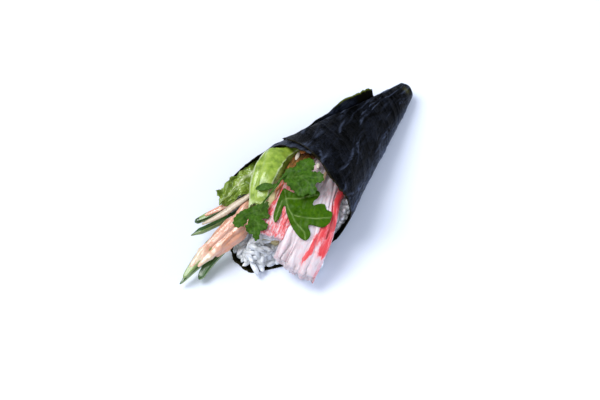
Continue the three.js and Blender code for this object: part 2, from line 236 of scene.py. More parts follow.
class Value:  # a socket that sums can be written with
    def __init__(self, paint, socket):
        self.paint, self.socket = paint, socket

    def maths(self, operation, first, second):
        return self.paint.node("ShaderNodeMath", {"operation": operation}, {0: first, 1: second})

    def __add__(self, other):
        return self.maths("ADD", self, other)

    def __sub__(self, other):
        return self.maths("SUBTRACT", self, other)

    def __rsub__(self, other):
        return self.maths("SUBTRACT", other, self)

    def __mul__(self, other):
        return self.maths("MULTIPLY", self, other)

    __radd__, __rmul__ = __add__, __mul__

    def between(self, low, high):  # 0 below low, 1 above high, smooth between
        settings = {"interpolation_type": "SMOOTHSTEP"}
        sockets = {"Value": self, "From Min": low, "From Max": high}
        return self.paint.node("ShaderNodeMapRange", settings, sockets)


class Paint:  # a material and the nodes that feed its shader
    def __init__(self, name):
        self.material = bpy.data.materials.new(name)
        self.material.use_nodes = True
        self.tree = self.material.node_tree
        self.shader = self.tree.nodes["Principled BSDF"]
        place = self.node("ShaderNodeTexCoord", out="Object")
        self.place = self.node("ShaderNodeVectorMath", {"operation": "SCALE"},
                               {0: place, "Scale": 1 / mm})

    def node(self, kind, settings=None, sockets=None, out=0):
        made = self.tree.nodes.new(kind)
        for key, value in (settings or {}).items():
            if key == "stops":
                for at, _ in value[2:]:
                    made.color_ramp.elements.new(at)
                for stop, (at, colour) in zip(made.color_ramp.elements, sorted(value)):
                    stop.position, stop.color = at, (*colour, 1)
            else:
                setattr(made, key, value)
        for key, value in (sockets or {}).items():
            self.feed(made.inputs[key], value)
        return Value(self, made.outputs[out])

    def feed(self, socket, value):
        if isinstance(value, Value):
            self.tree.links.new(value.socket, socket)
        elif socket.type == "RGBA":
            socket.default_value = (*value, 1)
        else:
            socket.default_value = value

    def mark(self, name, out="Fac"):
        return self.node("ShaderNodeAttribute", {"attribute_name": name}, out=out)

    def stretched(self, place, x, y, z):
        return self.node("ShaderNodeVectorMath", {"operation": "MULTIPLY"}, {0: place, 1: (x, y, z)})

    def noise(self, size, detail=3.0, rough=0.5, place=None, twist=0.0):
        sockets = {"Vector": place or self.place, "Scale": 1 / size, "Detail": detail, "Roughness": rough,
                   "Distortion": twist}
        return self.node("ShaderNodeTexNoise", None, sockets, out="Fac")

    def blend(self, share, first, second):
        settings = {"data_type": "RGBA"}
        sockets = {"Factor": share, 6: first, 7: second}
        return self.node("ShaderNodeMix", settings, sockets, out=2)

    def ramp(self, share, *stops):
        return self.node("ShaderNodeValToRGB", {"stops": list(stops)}, {"Fac": share}, out="Color")

    def bump(self, height, depth, strength=1.0):  # depth in millimetres
        sockets = {"Height": height, "Distance": depth * mm, "Strength": strength}
        return self.node("ShaderNodeBump", None, sockets, out="Normal")

    def done(self, **sockets):
        for key, value in sockets.items():
            self.feed(self.shader.inputs[key.replace("_", " ")], value)
        return self.material


view = {
    "place": (-0.3901, -0.2323, 0.5136),
    "toward": (0.5468, 0.3550, -0.7583),
    "lens": 85.2, "sensor": 36, "clip": (0.01, 20),
}


def addCamera():
    camera = bpy.data.objects.new("camera", bpy.data.cameras.new("camera"))
    bpy.context.scene.collection.objects.link(camera)
    camera.data.lens = view["lens"]
    camera.data.sensor_width = view["sensor"]
    camera.location = view["place"]
    camera.rotation_euler = Vector(view["toward"]).to_track_quat("-Z", "Y").to_euler()
    camera.data.clip_start, camera.data.clip_end = view["clip"]
    bpy.context.scene.camera = camera


lights = {
    "window": {
        "place": (-0.40, 0.55, 1.15), "size": (0.9, 0.8), "power": 18.5, "colour": (0.97, 0.985, 1.0),
    },
    "side": {
        "place": (0.62, -0.80, 0.40), "size": (0.7, 0.35), "power": 9.0, "colour": (0.74, 0.84, 1.0),
    },
    "front": {
        "place": (-0.8, -0.45, 0.9), "size": (0.6, 0.5), "power": 3.0, "colour": (1.0, 0.98, 0.97),
    },
}

sky = {"colour": (0.86, 0.91, 1.0), "strength": 0.36}


def addLights():
    for name, light in lights.items():
        lamp = bpy.data.lights.new(name, "AREA")
        lamp.shape = "RECTANGLE"
        lamp.size, lamp.size_y = light["size"]
        lamp.energy, lamp.color = light["power"], light["colour"]
        holder = bpy.data.objects.new(name, lamp)
        bpy.context.scene.collection.objects.link(holder)
        holder.location = light["place"]
        holder.rotation_euler = (-Vector(light["place"])).to_track_quat("-Z", "Y").to_euler()
    world = bpy.data.worlds.new("studio")
    world.use_nodes = True
    background = world.node_tree.nodes["Background"].inputs
    background["Color"].default_value = (*sky["colour"], 1)
    background["Strength"].default_value = sky["strength"]
    bpy.context.scene.world = world
    bpy.context.scene.view_settings.view_transform = "Standard"


ground = {
    "halfWidth": 1.5, "patch": 60, "roughness": 0.45,
    "tones": ((0.78, 0.83, 0.96), (0.80, 0.845, 0.965)),
}


def floorPaint():
    paint = Paint("paleFloor")
    darker, lighter = ground["tones"]
    colour = paint.ramp(paint.noise(ground["patch"]), (0.3, darker), (0.7, lighter))
    return paint.done(Base_Color=colour, Roughness=ground["roughness"])


def addFloor():
    mesh = bpy.data.meshes.new("floor")
    far = ground["halfWidth"]
    corners = [(-far, -far, 0), (far, -far, 0), (far, far, 0), (-far, far, 0)]
    mesh.from_pydata(corners, [], [(0, 1, 2, 3)])
    floor = bpy.data.objects.new("floor", mesh)
    bpy.context.scene.collection.objects.link(floor)
    mesh.materials.append(floorPaint())


addCamera()
addLights()
addFloor()
print("stage: camera, lights and floor")


cone = {
    "tipX": 68, "centreY": 1,
    "tipHalfWidth": 4.6, "widthGrowth": 0.222, "tipHeight": 10, "heightGrowth": 0.325,
    "sag": 1.1, "shoulder": (50, 30, 1.8),  # angle, spread and rise of its fuller side
}

nori = {
    "thickness": 0.45, "around": 330, "along": 148,
    "startAngle": 100, "turns": (392, 410),  # how far it is wound, at the tip and at the mouth
    "tuck": 1.5, "tuckTurn": 110, "lift": 1.1, "liftTurn": 60,  # the inner edge sinks, the outer lifts
    "edge": [  # how far the mouth's edge is from the tip, by turn
        (0, 88), (60, 92), (95, 110), (130, 119), (170, 136), (187, 137), (205, 126), (240, 108),
        (280, 97), (335, 97), (350, 93), (370, 89), (410, 87),
    ],
    "ragged": 0.9, "wave": 0.14, "crinkle": 0.34, "dent": 0.25, "crease": 0.45,
    "sheenTurns": (310, 266),  # the painted sheen grows from the first to the second
    "oliveSpot": (61.9, -2.2, 11), "oliveSize": 1.8,
    "flapAngle": 30, "flapRows": 26, "flapColumns": 150,
    "flap": [(20, 0.8), (22.5, 7), (26, 10), (33, 10.4), (41, 9.4), (52, 5.5), (76, 0.8)],  # its height
    "flapWave": 0.8, "flapLean": 0.12,
}


def conePoint(angle, length, offset, squeeze=1.0):
    halfWidth = (cone["tipHalfWidth"] + cone["widthGrowth"] * length) * squeeze
    halfHeight = (cone["tipHeight"] + cone["heightGrowth"] * length) / 2
    turn = np.radians(angle)
    rise = np.sin(turn)
    press = np.where(rise < 0, cone["sag"], 1)
    shoulderAngle, shoulderSpread, shoulderRise = cone["shoulder"]
    away = (angle - shoulderAngle + 180) % 360 - 180
    out = offset + shoulderRise * np.exp(-(away / shoulderSpread) ** 2) * ease(length, 5, 60)
    z = halfHeight + (halfHeight * squeeze + out) * rise * press
    y = cone["centreY"] + (halfWidth + out) * np.cos(turn)
    return np.stack([cone["tipX"] - length, y, np.maximum(z, -np.minimum(offset, 0))], -1)


def mouthLength(turn):
    known = np.array(nori["edge"], float)
    return np.interp(turn, known[:, 0], known[:, 1])


def sheetPoint(turn, share, lastTurn, offset):
    length = share * mouthLength(turn)
    squeeze = 1 - 0.3 * (1 - ease(length, 0, 2.5))
    angle = nori["startAngle"] - turn
    lap = nori["lift"] * ease(turn, lastTurn - nori["liftTurn"], lastTurn) * share ** 3
    tuck = nori["tuck"] * (1 - ease(turn, 0, nori["tuckTurn"]))
    free = ease(np.sin(np.radians(angle)), -0.85, -0.3)
    wave = np.sin(np.radians(angle) * 7 + length * 0.11)
    wave = wave + np.sin(np.radians(angle) * 4 - length * 0.17 + 1)
    out = offset + lap - tuck + nori["wave"] * wave * free * share
    return conePoint(angle, length, out, squeeze), length, free


def insideCone(points, gap, beyond=4):  # moves what lies outside the seaweed to its inner face
    y, z = points[..., 1] - cone["centreY"], points[..., 2]
    length = cone["tipX"] - points[..., 0]
    halfWidth = np.maximum(cone["tipHalfWidth"] + cone["widthGrowth"] * length - gap, 0.5)
    halfHeight = (cone["tipHeight"] + cone["heightGrowth"] * length) / 2
    upward = z - halfHeight
    tall = np.maximum(halfHeight - gap, 0.5) * np.where(upward < 0, cone["sag"], 1)
    radius = np.hypot(y / halfWidth, upward / tall)
    turn = (nori["startAngle"] - np.degrees(np.arctan2(upward / tall, y / halfWidth))) % 360
    limit = 1 + beyond * ease(length - mouthLength(turn), -0.5, 5)
    scale = np.minimum(limit / np.maximum(radius, 1e-6), 1)
    moved = points.copy()
    moved[..., 1] = cone["centreY"] + y * scale
    lowest = np.where(length < mouthLength(turn) + 1, gap * 0.8, 0.1)
    moved[..., 2] = np.maximum(halfHeight + upward * scale, lowest)
    return moved


def crinkles(around, length, seed=3):  # ridges that slant across the sheet, and finer ones across them
    bend = noise(around / 16, length / 22, seed=seed + 5) * 5
    slant = around * 0.95 + length * 0.28 + bend
    run = length * 0.95 - around * 0.28
    broad = 1 - np.abs(noise(slant / 4.6, run / 12, seed=seed))
    fine = 1 - np.abs(noise(slant / 2.0 + 9, run / 5.5, seed=seed + 1))
    cross = 1 - np.abs(noise(around / 6 + bend / 3, length / 4, seed=seed + 2))
    where = ease(noise(around / 12, length / 14, seed=seed + 3), -0.6, 0.5)
    return (broad ** 3 * 1.1 + fine ** 3 * 0.5) * (0.35 + 0.65 * where) + cross ** 4 * 0.45 - 0.6


def fanned(turn, length):  # millimetres across the sheet, so that what is even here runs along the cone
    return np.radians(turn - 300) * (15 + length * 0.1)


def creases(turn, length):  # thin crests from 0 to 1 that run along the cone and swing sideways
    across = fanned(turn, length)
    bent = across + 7 * noise(length / 26, across / 24, seed=40)
    bent = bent + 2.2 * noise(length / 9, across / 9, seed=41)
    bold = np.clip(1 - np.abs(noise(bent / 3.4, length / 34, seed=42)) * 3.0, 0, 1)
    fine = np.clip(1 - np.abs(noise(bent / 1.5, length / 20, seed=43)) * 2.4, 0, 1)
    where = ease(noise(bent / 9, length / 24, seed=44), -0.1, 0.55)
    patch = ease(noise(bent / 5, length / 12, seed=45), 0.0, 0.6)
    return bold ** 2 * where + 0.7 * fine ** 2 * patch


def noriPaint():
    paint = Paint("driedSeaweed")
    sheet = paint.mark("sheet", "Vector")
    fibres = paint.noise(1.3, 6, 0.7, paint.stretched(sheet, 1.0, 0.3, 1.0), 1.0)
    folds = paint.noise(3.4, 6, 0.62, paint.stretched(sheet, 1.0, 0.3, 1.0), 1.6)
    broad = paint.noise(8.0, 4, 0.6, paint.stretched(sheet, 1.0, 0.5, 1.0), 1.0)
    specks = paint.noise(0.35, 4, 0.7, sheet)
    inside = paint.mark("inside")
    crest, sheen = paint.mark("crest"), paint.mark("sheen")
    thin = paint.ramp(fibres, (0.45, (0, 0, 0)), (0.5, (1, 1, 1)), (0.55, (0, 0, 0)))
    dark = paint.blend(broad.between(0.45, 0.7), (0.0003, 0.0004, 0.0006), (0.0012, 0.0016, 0.0032))
    # painted sheen: lighter, bluer colour where the sheen mark is high
    base = paint.blend(sheen * (0.14 + fibres.between(0.44, 0.60) * 0.8), dark, (0.070, 0.086, 0.130))
    # painted highlights: glints on the crests and along thin fibre lines
    glint = crest * folds.between(0.42, 0.56) * (0.8 + sheen * 0.3)
    glint = glint + thin * broad.between(0.42, 0.6) * 0.12
    lit = paint.blend(glint, base, (0.085, 0.105, 0.165))
    lit = paint.blend(paint.mark("olive") * specks.between(0.4, 0.6), lit, (0.11, 0.10, 0.015))
    inner = paint.blend(specks.between(0.45, 0.75), (0.0030, 0.0026, 0.0018), (0.012, 0.011, 0.004))
    edge = paint.mark("edge") * specks.between(0.35, 0.6)
    # the corner's top edge turns yellow-green: the torn edge's own colour, partly painted light shining
    # through it
    fringe = paint.blend(edge.between(0.9, 1.6), (0.028, 0.024, 0.008), (0.20, 0.24, 0.03))
    colour = paint.blend(edge.between(0.0, 1.0), paint.blend(inside, lit, inner), fringe)
    height = fibres * 0.5 + folds * 0.9 + specks * 0.1
    rough = 0.20 + fibres * 0.26 + inside * 0.3
    return paint.done(Base_Color=colour, Roughness=rough, Specular_IOR_Level=0.02,
                      Normal=paint.bump(height, 1.1, 1.0))


def noriSheet():
    along, around = nori["along"], nori["around"]
    share = np.linspace(0, 1, along)[:, None] ** 0.95 * np.ones((1, around))
    lastTurn = mixed(*nori["turns"], share)
    turn = np.linspace(0, 1, around)[None, :] * lastTurn
    layers, marks = [], []
    for side in (0, 1):
        place, length, free = sheetPoint(turn, share, lastTurn, -nori["thickness"] * side)
        arc = np.radians(turn) * (cone["tipHalfWidth"] + cone["widthGrowth"] * length) * 1.02
        ragged = noise(arc / 2.6, side * 0.2, seed=8) * 0.6 + noise(arc / 0.9, 3, seed=9) * 0.4
        place[..., 0] -= ragged * nori["ragged"] * ease(share, 0.93, 1)
        crest = creases(turn, length)
        relief = crinkles(arc, length) * nori["crinkle"]
        relief = relief + noise(arc / 9, length / 16, seed=15) * nori["dent"]
        relief = (relief + crest * nori["crease"]) * ease(length, 1, 14) * (0.25 + 0.75 * free)
        middle = [0 * length, 0 * length + cone["centreY"], length * 0.16 + 5]
        outward = unit((place - np.stack(middle, -1)) * np.array([0, 1, 1]))
        raised = relief * ease(np.abs(place[..., 2]), 0.2, 2.5)  # none where it is pressed flat
        place = place + outward * raised[..., None]
        place[..., 2] = np.maximum(place[..., 2], nori["thickness"] * side + 0.02)
        sides = np.maximum(ease(turn, 3, 0), ease(turn, lastTurn - 2, lastTurn))
        away = np.linalg.norm(place - np.array(nori["oliveSpot"]), axis=-1)
        sheet = [fanned(turn, length), length, np.full_like(arc, side * 50.0)]
        layers.append(place)
        marks.append({
            "inside": np.full(arc.size, float(side)),
            "edge": np.maximum(ease(share, 0.985, 1), sides).ravel(),
            "sheet": np.stack(sheet, -1).reshape(-1, 3),
            "crest": crest.ravel(),
            # painted sheen on the turns below sheenTurns
            "sheen": ease(turn, *nori["sheenTurns"]).ravel(),
            "olive": np.exp(-(away / nori["oliveSize"]) ** 2).ravel(),
        })
    points, faces = thickSheet(*layers)
    return points, faces, bothSides(marks)


def flapSheet():  # the sheet's free corner, standing up along its +Y side
    known = np.array(nori["flap"], float)
    rows, columns = nori["flapRows"], nori["flapColumns"]
    length = np.linspace(known[0, 0], known[-1, 0], columns)[None, :] * np.ones((rows, 1))
    turn = nori["startAngle"] - nori["flapAngle"]
    share = length / mouthLength(turn)
    up = np.linspace(0, 1, rows)[:, None]
    jagged = (0.02 + 0.07 * ease(length, 38, 33)) * noise(length / 0.9, 6, seed=7)
    height = np.interp(length, known[:, 0], known[:, 1])
    height = height * (0.95 + 0.04 * noise(length / 2.2, 2, seed=5) + jagged)
    rise = up * height
    wave = noise(length / 6, up * 2, seed=6) * nori["flapWave"] * up
    layers, marks = [], []
    for side in (0, 1):
        place, _, _ = sheetPoint(turn * np.ones_like(length), share, nori["turns"][1], -0.25)
        place[..., 1] += -nori["flapLean"] * rise + 0.2 + wave - nori["thickness"] * side
        place[..., 2] += rise
        layers.append(place)
        marks.append({
            "inside": ease(length, 35, 30).ravel(),
            # partly painted light: the top edge's green is brightened as if lit through
            "edge": (ease(up, 0.8, 0.97) * (1 + 1.6 * ease(height, 6, 10))).ravel(),
            "sheet": np.stack([rise, length, rise * 0 + side * 50 + 20], -1).reshape(-1, 3),
            "crest": creases(np.degrees(rise / 17), length).ravel(),
            # painted sheen on the corner's left part
            "sheen": 0.35 * ease(length, 31, 38).ravel(),
            "olive": ease(length, 33, 28).ravel() * 0.35,
        })
    points, faces = thickSheet(*layers)
    return points, faces, bothSides(marks)


def addNori():
    paint = noriPaint()
    points, faces, marks = noriSheet()
    facingOut(addPiece("noriSheet", points, faces, paint, ("nori",), marks))
    points, faces, marks = flapSheet()
    facingOut(addPiece("noriCorner", points, faces, paint, (), marks))


addNori()
print("stage: seaweed")


rice = {
    "length": (6.6, 8.4), "width": (2.4, 2.8), "rows": 10, "around": 12, "seed": 41,
    "spacing": 2.35, "visibleX": -16,  # no grains beyond this X, where the seaweed hides them
    "inset": 2.8,  # how far the core lies under the heap's outline
    "loose": [  # grains laid singly, from end to end
        ((-66.6, 4.6, 4.8), (-69.8, -2.4, 3.0)), ((-64.0, 9.0, 6.0), (-67.4, 2.5, 7.0)),
        ((-61.5, 14.5, 5.0), (-66.0, 9.6, 3.6)),
        ((-47.5, -22.0, 3.4), (-53.6, -22.8, 2.4)), ((-51.0, -19.6, 2.2), (-57.0, -22.4, 1.4)),
        ((-28.5, -17.0, 12.0), (-33.5, -20.0, 9.5)),
    ],
    "bare": (-32, -15.5, 12),  # no grains beyond this X and -Y below this height, where the seaweed shows
}


def ricePaint():
    paint = Paint("cookedRice")
    cloud = paint.noise(2.4, 3)
    colour = paint.ramp(cloud, (0.3, (0.51, 0.55, 0.61)), (0.65, (0.77, 0.79, 0.83)))
    return paint.done(Base_Color=colour, Roughness=0.26, Subsurface_Weight=0.55,
                      Subsurface_Radius=(1.0, 1.0, 1.1), Subsurface_Scale=0.0018,
                      Coat_Weight=0.25, Coat_Roughness=0.15,
                      Normal=paint.bump(paint.noise(0.8, 3), 0.12, 0.5))


def grainShape(rng, length=None):  # a grain along X, slightly bent, blunt at one end
    rows, around = rice["rows"], rice["around"]
    length = length or rng.uniform(*rice["length"])
    width = rng.uniform(*rice["width"])
    t = np.linspace(0, 1, rows)[:, None]
    a = circle(around)[None, :]
    blunt = 1 - np.abs(2 * np.clip(t, 0.012, 0.988) - 1) ** 2.6
    radius = blunt ** 0.48 * width / 2 * (1 - 0.14 * (t - 0.5))
    bend = rng.uniform(-0.5, 0.8) * (1 - (2 * t - 1) ** 2)
    waist = 1 + 0.06 * noise(t * 3, a, rng.random() * 90, 4)
    x = (t - 0.5) * length + a * 0
    y = np.cos(a) * radius * waist + 0.15 * np.sin(t * 5)
    z = np.sin(a) * radius * waist * rng.uniform(0.8, 0.95) + bend
    return capped(np.stack([x, y, z], -1))


def laid(points, along, side):  # turns a grain from the X axis to lie along a direction
    return points @ np.stack([along, side, np.cross(along, side)])


def addRice():
    rng = random.Random(rice["seed"])
    paint = ricePaint()
    shape = bmesh.new()
    shape.from_mesh(nodes["rice"].data)
    bmesh.ops.triangulate(shape, faces=shape.faces)
    shape.normal_update()
    spots = []
    bareX, bareY, bareZ = rice["bare"]
    for face in shape.faces:
        x, y, z = np.array(face.calc_center_median()) / mm
        if x > rice["visibleX"] or (x < bareX and y < bareY and z < bareZ):
            continue
        corners = [np.array(v.co) / mm for v in face.verts]
        for _ in range(max(1, int(face.calc_area() / mm ** 2 * 1.2))):
            a, b = rng.random(), rng.random()
            if a + b > 1:
                a, b = 1 - a, 1 - b
            place = corners[0] + a * (corners[1] - corners[0]) + b * (corners[2] - corners[0])
            spots.append((place, np.array(face.normal)))
    core = np.array([np.array(v.co) / mm - np.array(v.normal) * rice["inset"] for v in shape.verts])
    faces = [[v.index for v in face.verts] for face in shape.faces]
    shape.free()
    addPiece("riceCore", insideCone(core, 1.6), faces, paint, ("rice",))
    rng.shuffle(spots)
    kept, grains = [], Bunch()
    for place, normal in spots:
        if any(np.sum((place - other) ** 2) < rice["spacing"] ** 2 for other in kept):
            continue
        kept.append(place)
        points, faces = grainShape(rng)
        lean = unit(np.array([rng.gauss(0, 1), rng.gauss(0, 1), rng.gauss(0, 1)]))
        along = unit(lean - normal * float(lean @ normal) * rng.uniform(0.6, 1.0))
        side = unit(np.cross(normal, along))
        turned = laid(points, along, side)
        grains.add(insideCone(place - normal * rng.uniform(0.7, 1.7) + turned, 1.0), faces)
    for first, last in rice["loose"]:
        first, last = np.array(first, float), np.array(last, float)
        along = unit(last - first)
        side = unit(np.cross([0.0, 0.0, 1.0], along))
        points, faces = grainShape(rng, float(np.linalg.norm(last - first)))
        grains.add((first + last) / 2 + laid(points, along, side), faces)
    grains.piece("riceGrains", paint, "rice")
    print("stage: rice,", len(kept) + len(rice["loose"]), "grains")


addRice()


crabLong = {
    "name": "crabStickLong", "node": "crab_stick_long", "seed": 5,
    "route": [(8, -3, 19), (-28, -8.4, 25.5), (-48, -14.9, 18.3), (-62.4, -16.8, 10.6)],
    "side": (0.1, -1, -0.35), "halfWidth": (8, 10.6, 11.3, 10.4), "halfHeight": (4, 5, 5, 4),
    "strands": 5, "grooves": 0.36, "ragged": 2.2, "crown": 1.8, "split": 0.4,
    "outward": 2.1,  # how much further the end's -Y edge runs on
    "stripes": [  # place across at its start and end, half width, stretch of the stick, strength
        ((0.92, 0.80), 0.20, (0.0, 0.9), 1.15),
        ((0.58, 0.16), 0.14, (0.66, 0.97), 0.85),
        ((0.93, 0.93), 0.10, (0.9, 1.05), 0.42),
    ],
    # painted shade: from the first X to the second the stick darkens to brown, deeper under the seaweed
    "blush": 0.06, "stain": (-20, 0),
}

crabShort = {
    "name": "crabStickShort", "node": "crab_stick_short", "seed": 9,
    "route": [(2, 9, 20), (-22, 5.0, 28), (-41, 0, 27), (-57.2, -1.8, 18)],
    "side": (0.1, -1, -0.1), "halfWidth": (5, 6.3, 6.6, 7.4), "halfHeight": (3, 3.8, 4, 3.4),
    "strands": 6, "grooves": 0.2, "ragged": 1.3, "outward": -0.6, "crown": 1.0, "split": 0.0,
    "stripes": [((0.35, 0.55), 0.35, (0.45, 0.97), 0.16), ((-0.7, -0.8), 0.25, (0.3, 0.9), 0.14)],
    # painted shade: darkens to brown from the first X to the second, deeper under the seaweed
    "blush": 0.48, "stain": (-44, -34),
}


crabMesh = {"along": 110, "lid": 12, "around": 168}


def crabPaint():
    paint = Paint("crabStick")
    strand = paint.mark("strand", "Vector")
    streak = paint.noise(1.3, 4, 0.6, paint.stretched(strand, 0.22, 1.1, 1.1), 0.4)
    flecks = paint.noise(1.5, 4, 0.7, paint.stretched(strand, 0.5, 1.0, 1.0))
    cloud = paint.noise(3.2, 3)
    white = paint.ramp(streak, (0.3, (0.56, 0.45, 0.49)), (0.5, (0.67, 0.59, 0.63)),
                       (0.75, (0.74, 0.70, 0.73)))
    pale = paint.blend(cloud.between(0.5, 0.72) * 0.45, white, (0.78, 0.40, 0.45))
    skin = paint.ramp(streak, (0.3, (0.56, 0.014, 0.026)), (0.6, (0.75, 0.065, 0.075)),
                      (0.8, (0.82, 0.26, 0.27)))
    redness = paint.mark("red") + (streak - 0.5) * 1.1 + (flecks - 0.5) * 1.4
    pinkness = redness.between(0.12, 0.5) * 0.5
    reddest = redness.between(0.34, 0.70)
    colour = paint.blend(reddest, paint.blend(pinkness, pale, (0.80, 0.30, 0.33)), skin)
    # painted shade: the grooves between strands a little darker and greyer
    deep = paint.mark("groove")
    colour = paint.blend(deep * 0.2, colour, (0.42, 0.24, 0.27))
    # painted shade: dark brown over the stick where it lies deep under the seaweed
    stain = paint.mark("stain") * cloud.between(0.2, 0.45)
    brown = paint.blend(flecks.between(0.4, 0.6), (0.10, 0.055, 0.012), (0.34, 0.15, 0.04))
    colour = paint.blend(stain, colour, brown)
    height = streak + flecks * 0.6
    return paint.done(Base_Color=colour, Roughness=0.33, Subsurface_Weight=0.18,
                      Subsurface_Radius=(1.0, 0.5, 0.45), Subsurface_Scale=0.0014,
                      Coat_Weight=0.15, Coat_Roughness=0.2,
                      Normal=paint.bump(height, 0.4, 0.7))


def addCrab(stick, paint):
    seed, along, lid, around = stick["seed"], crabMesh["along"], crabMesh["lid"], crabMesh["around"]
    route, tangent, up, across = framed(stick["route"], stick["side"], along)
    t = np.r_[np.zeros(lid), np.linspace(0, 1, along), np.ones(lid)]
    shrink = np.r_[np.linspace(0.03, 0.97, lid), np.ones(along), np.linspace(0.97, 0.03, lid)][:, None]
    at = np.r_[np.zeros(lid, int), np.arange(along), np.full(lid, along - 1)]
    t = t[:, None]
    a = circle(around)[None, :]
    u = squared(np.cos(a), 0.72) * shrink
    v = squared(np.sin(a), 0.62) * shrink
    order = (u * 0.5 + 0.5) * stick["strands"] + 0.9 * noise(t * 3.5, u * 3, seed=seed)
    order = order + 0.35 * noise(t * 9, u * 5, seed=seed + 9) + 0.2 * np.sign(v)
    inside = order - np.floor(order)
    number = np.floor(order).astype(np.int64)
    gap = np.abs(2 * inside - 1) ** 2.6  # 1 in the groove between two strands
    depth = 0.15 + 1.1 * ease(noise(t * 5, number * 3.7, seed=seed + 8), -0.5, 0.6)
    fine = noise(u * 7, t * 7, v * 3, seed + 3) * 0.07 + noise(u * 22, t * 16, v * 5, seed + 4) * 0.014
    fine = fine - stick["split"] * stripe(u, -0.6, 0.11) * ease(t, 0.8, 0.92) * (v > 0)
    plump = 0.07 * (hashed(number, 0 * number, 0 * number + 5, seed) - 0.5)
    skinned = ease(shrink, 0.6, 1)
    sunk = (stick["grooves"] * gap * depth - plump - fine) * skinned
    tall = spread(stick["halfHeight"], t) * v * (1 - sunk)
    wide = spread(stick["halfWidth"], t) * (u * (1 + fine * 0.5) - 0.02 * gap * np.sign(u) * skinned)
    length = (hashed(number, 0 * number + (v > 0), 0 * number + 9, seed) - 0.6) * stick["ragged"]
    fibres = noise(u * 16, v * 6, seed=seed + 6) * 0.45 + noise(u * 40, v * 14, seed=seed + 7) * 0.22
    reach = ease(t, 0.78, 1) * (length + stick["outward"] * u) + fibres * ease(t, 0.97, 1)
    crown = stick["crown"] * (1 + 0.6 * noise(u * 5, v * 4, seed=seed + 12))
    reach = reach + np.sqrt(np.clip(1 - shrink ** 2, 0, 1)) * (t > 0.5) * crown
    rings = swept(route[at], across[at], up[at], wide, tall)
    points, faces = capped(rings + tangent[at][:, None, :] * reach[..., None])
    red = np.full(u.shape, stick["blush"])
    for (first, last), width, (start, end), strength in stick["stripes"]:
        centre = mixed(first, last, np.clip((t - start) / (end - start), 0, 1))
        inStretch = ease(t, start - 0.03, start + 0.03) * (1 - ease(t, end - 0.06, end + 0.02))
        red = red + strength * stripe(u, centre, width) * inStretch * ease(v, -0.5, 0.1)
    red = red * ease(shrink, 0.55, 0.95)
    strand = np.stack([t * 75 + 0 * a, u * 9 + number * 1.7, v * 5 + seed * 9], -1).reshape(-1, 3)
    marks = {  # the two last points close the ends
        "red": np.r_[red.ravel(), 0, 0],
        # groove also carries painted shade into the colour
        "groove": np.r_[(gap * skinned).ravel(), 0, 0],
        # painted shade, from none to full between the stick's two X
        "stain": ease(points[:, 0], *stick["stain"]),
        "strand": np.vstack([strand, strand[:1], strand[-1:]]),
    }
    facingOut(addPiece(stick["name"], points, faces, paint, (stick["node"],), marks))


crabLook = crabPaint()
addCrab(crabLong, crabLook)
addCrab(crabShort, crabLook)
print("stage: crab sticks")


avocado = [  # the slice, and the part of it that has slid up beside the short crab stick
    {"route": [(0, 5, 14), (-25, 7, 16.5), (-44, 5.4, 17), (-57.4, 1.0, 12.6)],
     "side": (0.1, -1, -0.4), "halfWidth": (3.5, 5, 6.0, 5.0), "halfHeight": (2, 3, 3.0, 2.5)},
    {"route": [(-26, 8.8, 23), (-36, 8.4, 27.4), (-45, 7.2, 26.4), (-53, 5.0, 20.5)],
     "side": (0.1, -1, -0.2), "halfWidth": (2.5, 3.6, 4.0, 3.0), "halfHeight": (2, 2.8, 2.8, 2.2)},
]


def avocadoPaint():
    paint = Paint("avocadoFlesh")
    shade = paint.noise(5, 4, 0.6)
    colour = paint.ramp(shade, (0.3, (0.32, 0.27, 0.13)), (0.55, (0.50, 0.42, 0.20)),
                        (0.75, (0.62, 0.55, 0.28)))
    return paint.done(Base_Color=colour, Roughness=0.4, Subsurface_Weight=0.1, Subsurface_Scale=0.001,
                      Normal=paint.bump(paint.noise(0.9, 4), 0.25, 0.6))


def addAvocado():
    bunch = Bunch()
    for number, part in enumerate(avocado):
        count, lid, around = 60, 8, 48
        route, tangent, up, across = framed(part["route"], part["side"], count)
        t = np.r_[np.zeros(lid), np.linspace(0, 1, count), np.ones(lid)]
        shrink = np.r_[np.linspace(0.05, 0.96, lid), np.ones(count), np.linspace(0.96, 0.05, lid)]
        at = np.r_[np.zeros(lid, int), np.arange(count), np.full(lid, count - 1)]
        a = circle(around)
        u, v = squared(np.cos(a), 0.6), squared(np.sin(a), 0.6)
        rough = (1 + 0.06 * noise(a[None, :] * 1.5, t[:, None] * 9, number, 12)) * shrink[:, None]
        wide = spread(part["halfWidth"], t)[:, None] * u[None, :] * rough
        tall = spread(part["halfHeight"], t)[:, None] * v[None, :] * rough
        crown = 0.6 * (1 - shrink[:, None]) * np.sign(t[:, None] - 0.5)
        bulge = (noise(wide * 0.5, tall * 0.5, number, 13) * 0.5 + crown) * (shrink[:, None] < 0.99)
        rings = swept(route[at], across[at], up[at], wide, tall)
        bunch.add(*capped(rings + tangent[at][:, None, :] * bulge[..., None]))
    facingOut(bunch.piece("avocadoSlice", avocadoPaint(), "avocado", ("avocado_slice",)))


addAvocado()
print("stage: avocado")


